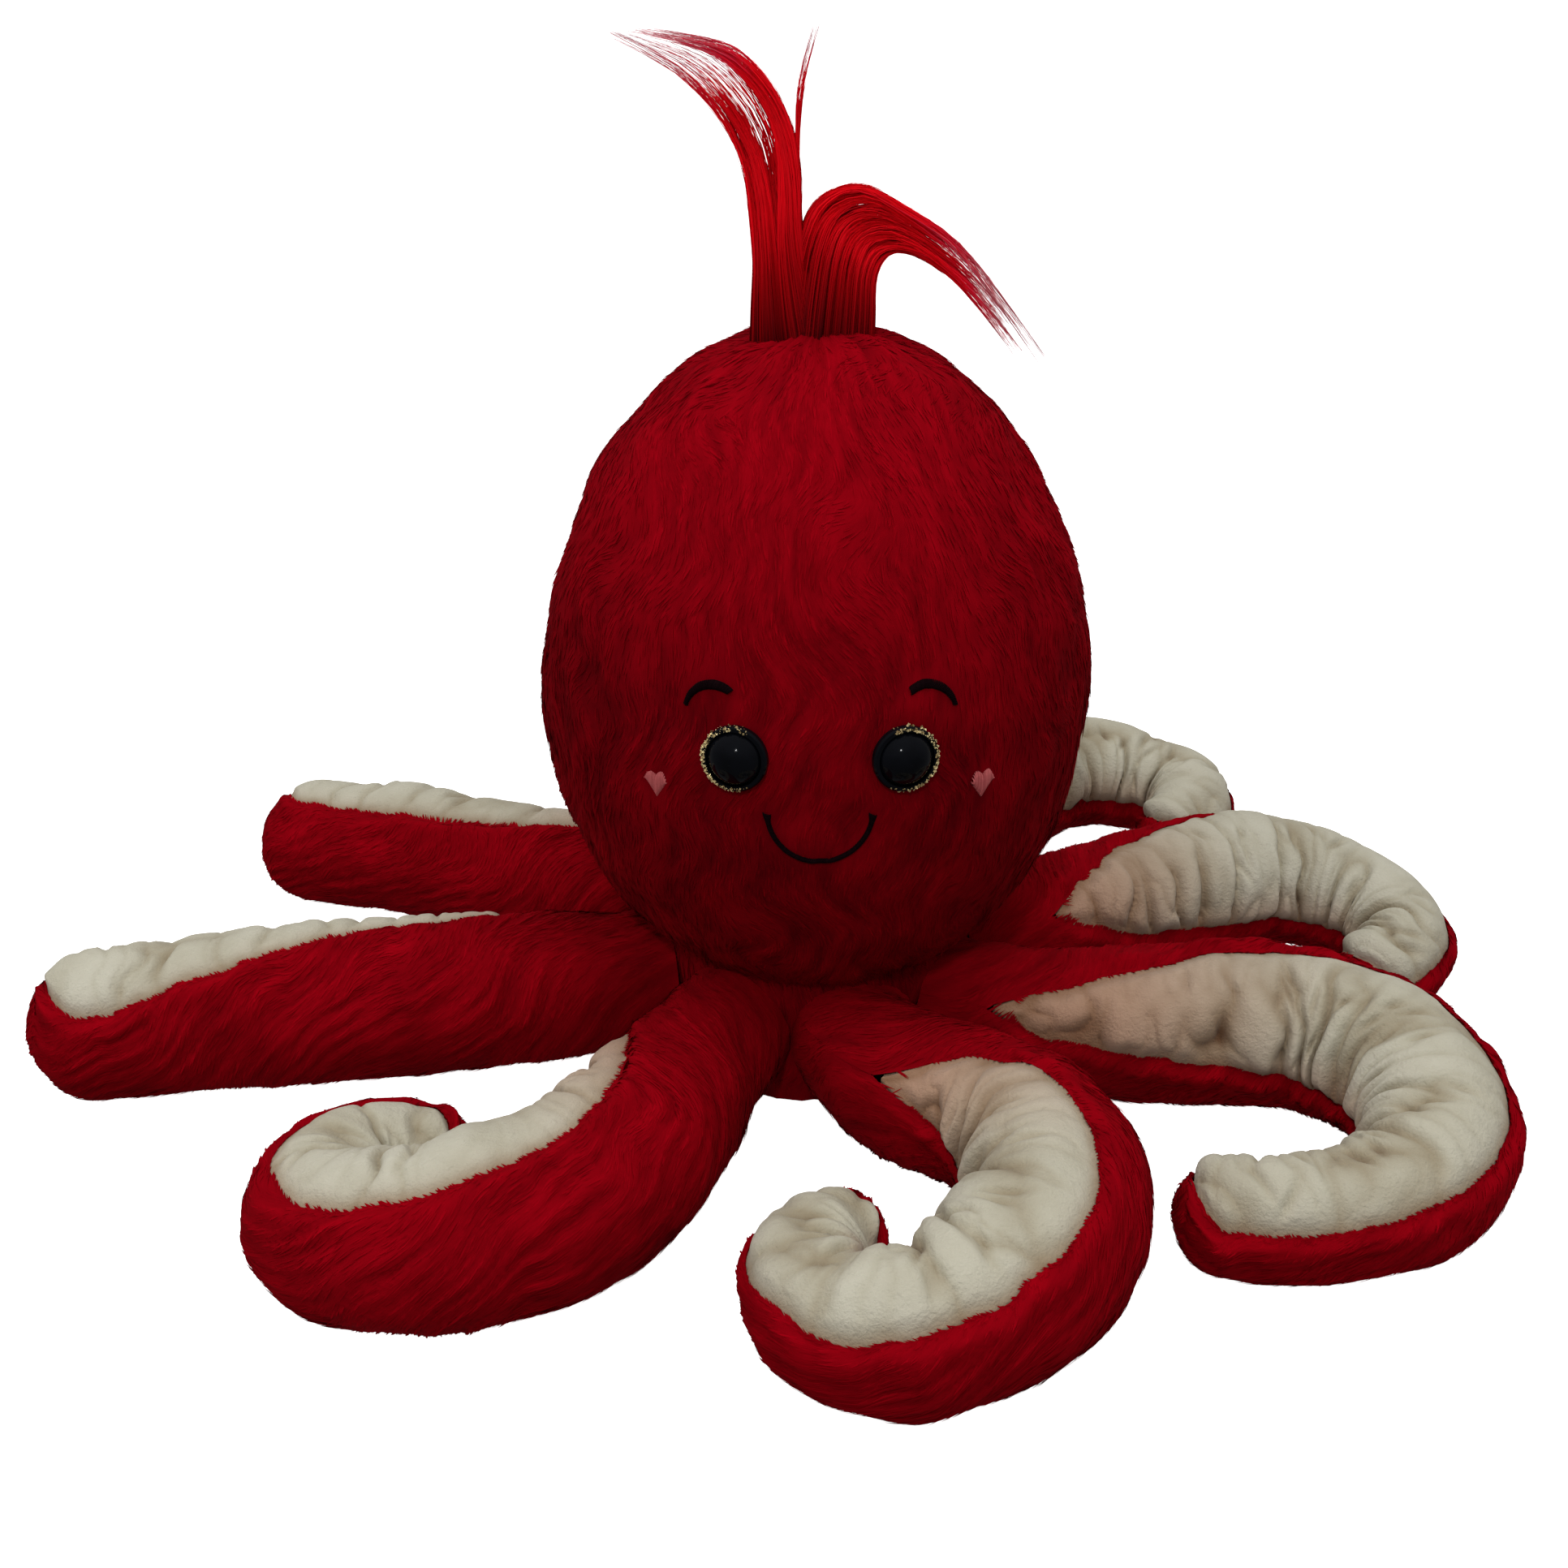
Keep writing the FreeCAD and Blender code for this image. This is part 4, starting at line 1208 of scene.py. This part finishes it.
def hair_strands(outer, inner, count, centres, depth, seed, reach=(0.55, 1.0), tight=0.9):
    """Tapered hairs between two edges that gather into wisps at shares of the width."""
    generator = np.random.default_rng(seed)
    place = generator.random(count)
    centres = np.array(centres, float)
    ends = generator.uniform(reach[0] + 0.2, reach[1], len(centres))
    ends[[0, -1]] = reach[1]
    depths = generator.uniform(-1, 1, len(centres))
    nearest = np.abs(place[:, None] - centres[None]).argmin(1)
    shorter = 1 - 0.42 * generator.random(count) ** 1.5
    length = np.clip(ends[nearest] * shorter, reach[0], reach[1])
    layer = generator.uniform(-1, 1, count)
    root_depth = depth * np.sqrt(np.clip(1 - (2 * place - 1) ** 2 * 0.4, 0, 1)) * layer
    wave = generator.uniform(0, 2 * math.pi, count)
    width = generator.uniform(0.22, 0.5, count)
    tint = generator.normal(0, 0.055, count)
    roll = generator.uniform(-0.9, 0.9, count)[:, None, None]
    steps = np.linspace(0, 1, HAIR_STEPS)
    rows, shades = [], []
    for step in steps:
        share = step * length
        gather = smoothstep((share - 0.22) / 0.5) * tight
        across = place + (centres[nearest] - place) * gather
        flat = guide(outer, share) * (1 - across)[:, None] + guide(inner, share) * across[:, None]
        toward = depths[nearest] * depth * 0.5 * (1 - 0.6 * step)
        y = root_depth * (1 - gather) + toward * gather
        stray = 1.1 * step ** 2 * np.sin(4 * step + wave)
        rows.append(np.stack([flat[:, 0] + stray, y + stray, flat[:, 1] + 0.5 * stray], -1))
        # painted shade at the base of the hair inside the tuft, and painted light at its thin, pale ends
        painted_tip_light = 0.36 * smoothstep((share - 0.62) / 0.38)
        shades.append(np.clip(1.8 * share - 0.03, 0, 0.60) + tint + painted_tip_light)
    centre = np.stack(rows, 1)
    shades = np.stack(shades, 1)
    forward = unit(np.gradient(centre, axis=1))
    sideways = unit(np.cross(forward, np.array([0.0, 1.0, 0.0]) + 0.01 * forward))
    outward = np.cross(sideways, forward)
    lateral = sideways * np.cos(roll) + outward * np.sin(roll)
    taper = (1.0 - 0.88 * steps ** 1.5)[None, :, None]
    half = width[:, None, None] / 2 * taper
    points = np.stack([centre - lateral * half, centre + lateral * half], 2).reshape(-1, 3)
    shade = np.repeat(shades[..., None], 2, axis=2).ravel()
    faces = np.array([[2 * row, 2 * row + 1, 2 * row + 3, 2 * row + 2] for row in range(HAIR_STEPS - 1)])
    quads = (np.arange(count)[:, None, None] * HAIR_STEPS * 2 + faces).reshape(-1, 4)
    blank = np.zeros_like(points)
    return points, quads, shade, blank, blank


def make_lock(label, groups):
    """One lock of the tuft; its hairs stand in the crown."""
    points, quads, shade, _, _ = joined([hair_strands(*group) for group in groups])
    piece = mesh_object("tuft_hair_" + label, points, quads, MATERIALS["tuft_hair"], shade)
    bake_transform(piece)
    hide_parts("tuft_lock_" + label)


def make_tuft_root():
    """Dense short root of the tuft, sewn into the crown."""
    turns = np.linspace(0, 2 * math.pi, 145)
    profile = [(15.6, 203.0), (15.8, 206.5), (15.6, 208.5), (14.4, 210.5), (12.0, 212.0), (8.0, 213.0),
               (0.6, 213.2)]
    rows = []
    for radius, level in profile:
        rows.append(np.stack([-2.0 + radius * np.sin(turns), -radius * np.cos(turns) * 0.62,
                              0 * turns + level], -1))
    points = np.array(rows)
    ridges = noise(np.stack([turns * 14, 0 * turns, 0 * turns], -1), 1.0, 66)
    points[..., 0] += ridges * 0.35
    # painted shade: the root is as dark as the shaded base of the hair
    shade = 0.12 + 0.06 * ridges + 0 * points[..., 0]
    quads = grid_quads(len(profile), len(turns))
    piece = mesh_object("tuft_root", points, quads, MATERIALS["tuft_hair"], shade)
    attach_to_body(piece, "body")
    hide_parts("tuft_band")


def make_tuft():
    """The tuft of long hair on the crown."""
    make_tuft_root()
    left_wisps = (0.02, 0.09, 0.19, 0.80, 0.89, 0.97)
    right_wisps = (0.02, 0.12, 0.30, 0.45, 0.62, 0.80, 0.96)
    make_lock("left", [
        (LEFT_OUTER, LEFT_INNER, 1700, left_wisps, 10.5, 91, (0.55, 1.0)),
        (LEFT_OUTER, LEFT_INNER, 170, (0.35, 0.5, 0.65), 6.0, 96, (0.6, 1.0), 0.4),
        (LEFT_INNER, LEFT_OUTER, 900, (0.1, 0.4, 0.6, 0.9), 10.5, 92, (0.25, 0.6)),
        (WISP, WISP, 60, (0.5,), 3.0, 93, (0.75, 1.0)),
    ])
    make_lock("right", [
        (RIGHT_OUTER, RIGHT_INNER, 1900, right_wisps, 10.5, 94, (0.55, 1.0)),
        (RIGHT_OUTER, RIGHT_INNER, 1000, np.linspace(0.03, 0.97, 12), 10.5, 95, (0.25, 0.65)),
        (RIGHT_OUTER, RIGHT_INNER, 300, (0.2, 0.5, 0.8), 8.0, 98, (0.6, 0.95), 0.3),
        (FUZZ, RIGHT_INNER, 90, (0.1, 0.3, 0.6), 6.0, 97, (0.3, 0.6), 0.5),
    ])


# ---- arms -----------------------------------------------------------------------------
def arm_parts(arm):
    """(label, start, end) of the meshes of an arm."""
    if arm.bend is None:
        return [("", -2.0, arm.end)]
    before = arm.bend - BEND_BEFORE
    after = arm.bend + MIDDLE_AFTER
    return [("_root", -2.0, before), ("_middle", before, after), ("_tip", after, arm.end)]


def attach(piece, name, arm, label):
    """Place a mesh of an arm: a tip mesh goes with the body of the arm's tip, the others are baked where
    they stand.
    """
    if label in ("", "_root"):
        start, end = arm.centre(0.0), arm.centre(ROOT_SOFT)
        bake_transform(piece)
    elif label == "_middle":
        start, end = arm.centre(arm.bend - BEND_BEFORE), arm.centre(arm.bend + BEND_AFTER)
        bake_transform(piece)
    else:
        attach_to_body(piece, name + "_tip")


def nodes_of(name, label, kind):
    """Frame pieces that a mesh stands for."""
    names = {"": [name], "_root": [name + "_root"], "_middle": [name + "_root", name + "_tip"],
             "_tip": [name + "_tip"]}[label]
    return [each + kind for each in names]


def make_sleeve(name, arm, label, start, end):
    """Red pile sleeve of one length of an arm."""
    skin = SleeveSkin(arm)
    generator = np.random.default_rng(arm.seed + len(label) * 7)
    rows = max(6, int((end - start) / ARM_CELL))
    columns = int(2 * math.pi * arm.radius * 0.85 / ARM_CELL)
    last = min(end, arm.end - 0.4)
    points, quads, across, along, normals = fabric(skin, start, last, rows, columns)
    # the sleeve's shade includes painted shade, darker near the body
    shade = PILE_SHADE + LOCK_SHADE["arm"] * skin.clump(across, along, points) - skin.painted_shade(along, points)
    cover = (points, quads, shade, normals, skin.lie_of(across, along, points))
    first = max(start, 0.5)
    spots = random_spots(skin, first, last - 1.0, 0.0, 1.0, generator, TUFTS_PER_AREA)
    pile = tufts(skin, *spots, generator)
    sewn = max(first, (arm.start + 0.02) * arm.length)
    count = int(max(last - 3.0 - sewn, 0) * FRINGE_PER_LENGTH)
    fringe_along = generator.uniform(sewn, max(last - 3.0, sewn), count)
    lower = generator.random(count) < 0.5
    fringe_across = np.where(lower, 0.006, 0.994)
    lean = np.where(lower, -1.0, 1.0) * generator.uniform(0.2, 1.6, count)
    fringe = tufts(skin, fringe_across, fringe_along, generator, lean)
    piece = pile_object(name + label + "_pile", [cover, pile, fringe])
    attach(piece, name, arm, label)
    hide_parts(*nodes_of(name, label, "_fur"), *nodes_of(name, label, "_filling"))


def make_panel(name, arm, label, start, end):
    """Cream panel of one length of an arm."""
    skin = PanelSkin(arm)
    first = max(start, arm.start * arm.length + 2.0)
    last = min(end, arm.length + arm.cap)
    if last - first < 2.0:
        return
    rows = max(6, int((last - first) / PANEL_CELL))
    points, quads, across, along, normals = fabric(skin, first, last, rows, PANEL_COLUMNS)
    shade = skin.shade(across, along, points)
    piece = mesh_object(name + label + "_panel_cloth", points, quads, MATERIALS["cream_plush"],
                        shade, normals)
    add_value(piece, "painted_red_shade", skin.painted_red_shade(across, along, points))
    attach(piece, name, arm, label)
    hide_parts(*nodes_of(name, label, "_panel"))


def make_arms():
    """All eight arms."""
    for name, place, radius, tip_share, turns, panel, bend in ARMS:
        arm = Arm(place, radius, tip_share, turns, panel, bend,
                  EARLY_START.get(name, PANEL_START), COIL_GAP.get(name, 0.0))
        for label, start, end in arm_parts(arm):
            make_sleeve(name, arm, label, start, end)
            make_panel(name, arm, label, start, end)


# ---- stage ----------------------------------------------------------------------------
def area_light(name, place, target, size, power):
    """Soft white square light that looks at a point, places in metres."""
    light = bpy.data.lights.new(name, "AREA")
    light.shape = "SQUARE"
    light.size = size
    light.energy = power
    thing = bpy.data.objects.new(name, light)
    bpy.context.scene.collection.objects.link(thing)
    thing.location = place
    aim = np.array(target, float) - np.array(place, float)
    thing.rotation_euler = (
        math.atan2(math.hypot(aim[0], aim[1]), -aim[2]), 0.0, math.atan2(-aim[0], aim[1]))
    return thing


def make_world():
    """Even sky light, brightest overhead and dark under the floor."""
    world = bpy.data.worlds.new("studio")
    bpy.context.scene.world = world
    world.use_nodes = True
    tree = world.node_tree
    background = tree.nodes["Background"]
    place = tree.nodes.new("ShaderNodeTexCoord")
    split = tree.nodes.new("ShaderNodeSeparateXYZ")
    ramp = tree.nodes.new("ShaderNodeValToRGB")
    tree.links.new(place.outputs["Generated"], split.inputs["Vector"])
    stretch = tree.nodes.new("ShaderNodeMapRange")
    stretch.inputs["From Min"].default_value = -1.0
    tree.links.new(split.outputs["Z"], stretch.inputs["Value"])
    tree.links.new(stretch.outputs["Result"], ramp.inputs["Fac"])
    elements = ramp.color_ramp.elements
    elements.new(0.5)
    for element, (where, value) in zip(elements, SKY):
        element.position = where
        element.color = (value, value, value, 1.0)
    tree.links.new(ramp.outputs["Color"], background.inputs["Color"])
    background.inputs["Strength"].default_value = SKY_STRENGTH


def make_stage():
    """Floor, lights, world and camera."""
    half = FLOOR_HALF / MM
    points = np.array([[-half, -half, 0], [half, -half, 0], [half, half, 0], [-half, half, 0]], float)
    floor = mesh_object("floor", points, np.array([[0, 1, 2, 3]]), MATERIALS["pale_floor"])
    floor.visible_diffuse = False
    floor.visible_glossy = False
    for name, place, target, size, power, mirrored in LIGHTS:
        area_light(name, place, target, size, power).visible_glossy = mirrored
    make_world()
    make_camera()
    bpy.context.scene.view_settings.view_transform = "Standard"


def make_camera():
    """Camera in front of the toy, a little above it."""
    camera = bpy.data.cameras.new("camera")
    camera.lens = CAMERA_LENS
    camera.sensor_width = 36.0
    camera.clip_start = 0.01
    camera.clip_end = 50.0
    thing = bpy.data.objects.new("camera", camera)
    bpy.context.scene.collection.objects.link(thing)
    thing.location = CAMERA_PLACE
    thing.rotation_euler = (math.radians(CAMERA_TILT), 0.0, 0.0)
    bpy.context.scene.camera = thing


BODY = BodySkin()
MATERIALS = {
    "red_pile": red_pile(),
    "cream_plush": cream_plush(),
    "tuft_hair": tuft_hair(),
    "black_gloss": black_gloss(),
    "gold_glitter": gold_glitter(),
    "black_thread": thread("black_thread", (0.0015, 0.0004, 0.0006), (0.007, 0.002, 0.003)),
    "pink_thread": thread("pink_thread", (0.24, 0.035, 0.040), (0.55, 0.13, 0.13)),
    "pale_floor": pale_floor(),
}
make_body_half("left", -0.5, 0.0)
make_body_half("right", 0.0, 0.5)
make_base_panel()
make_face()
make_tuft()
make_arms()
make_stage()
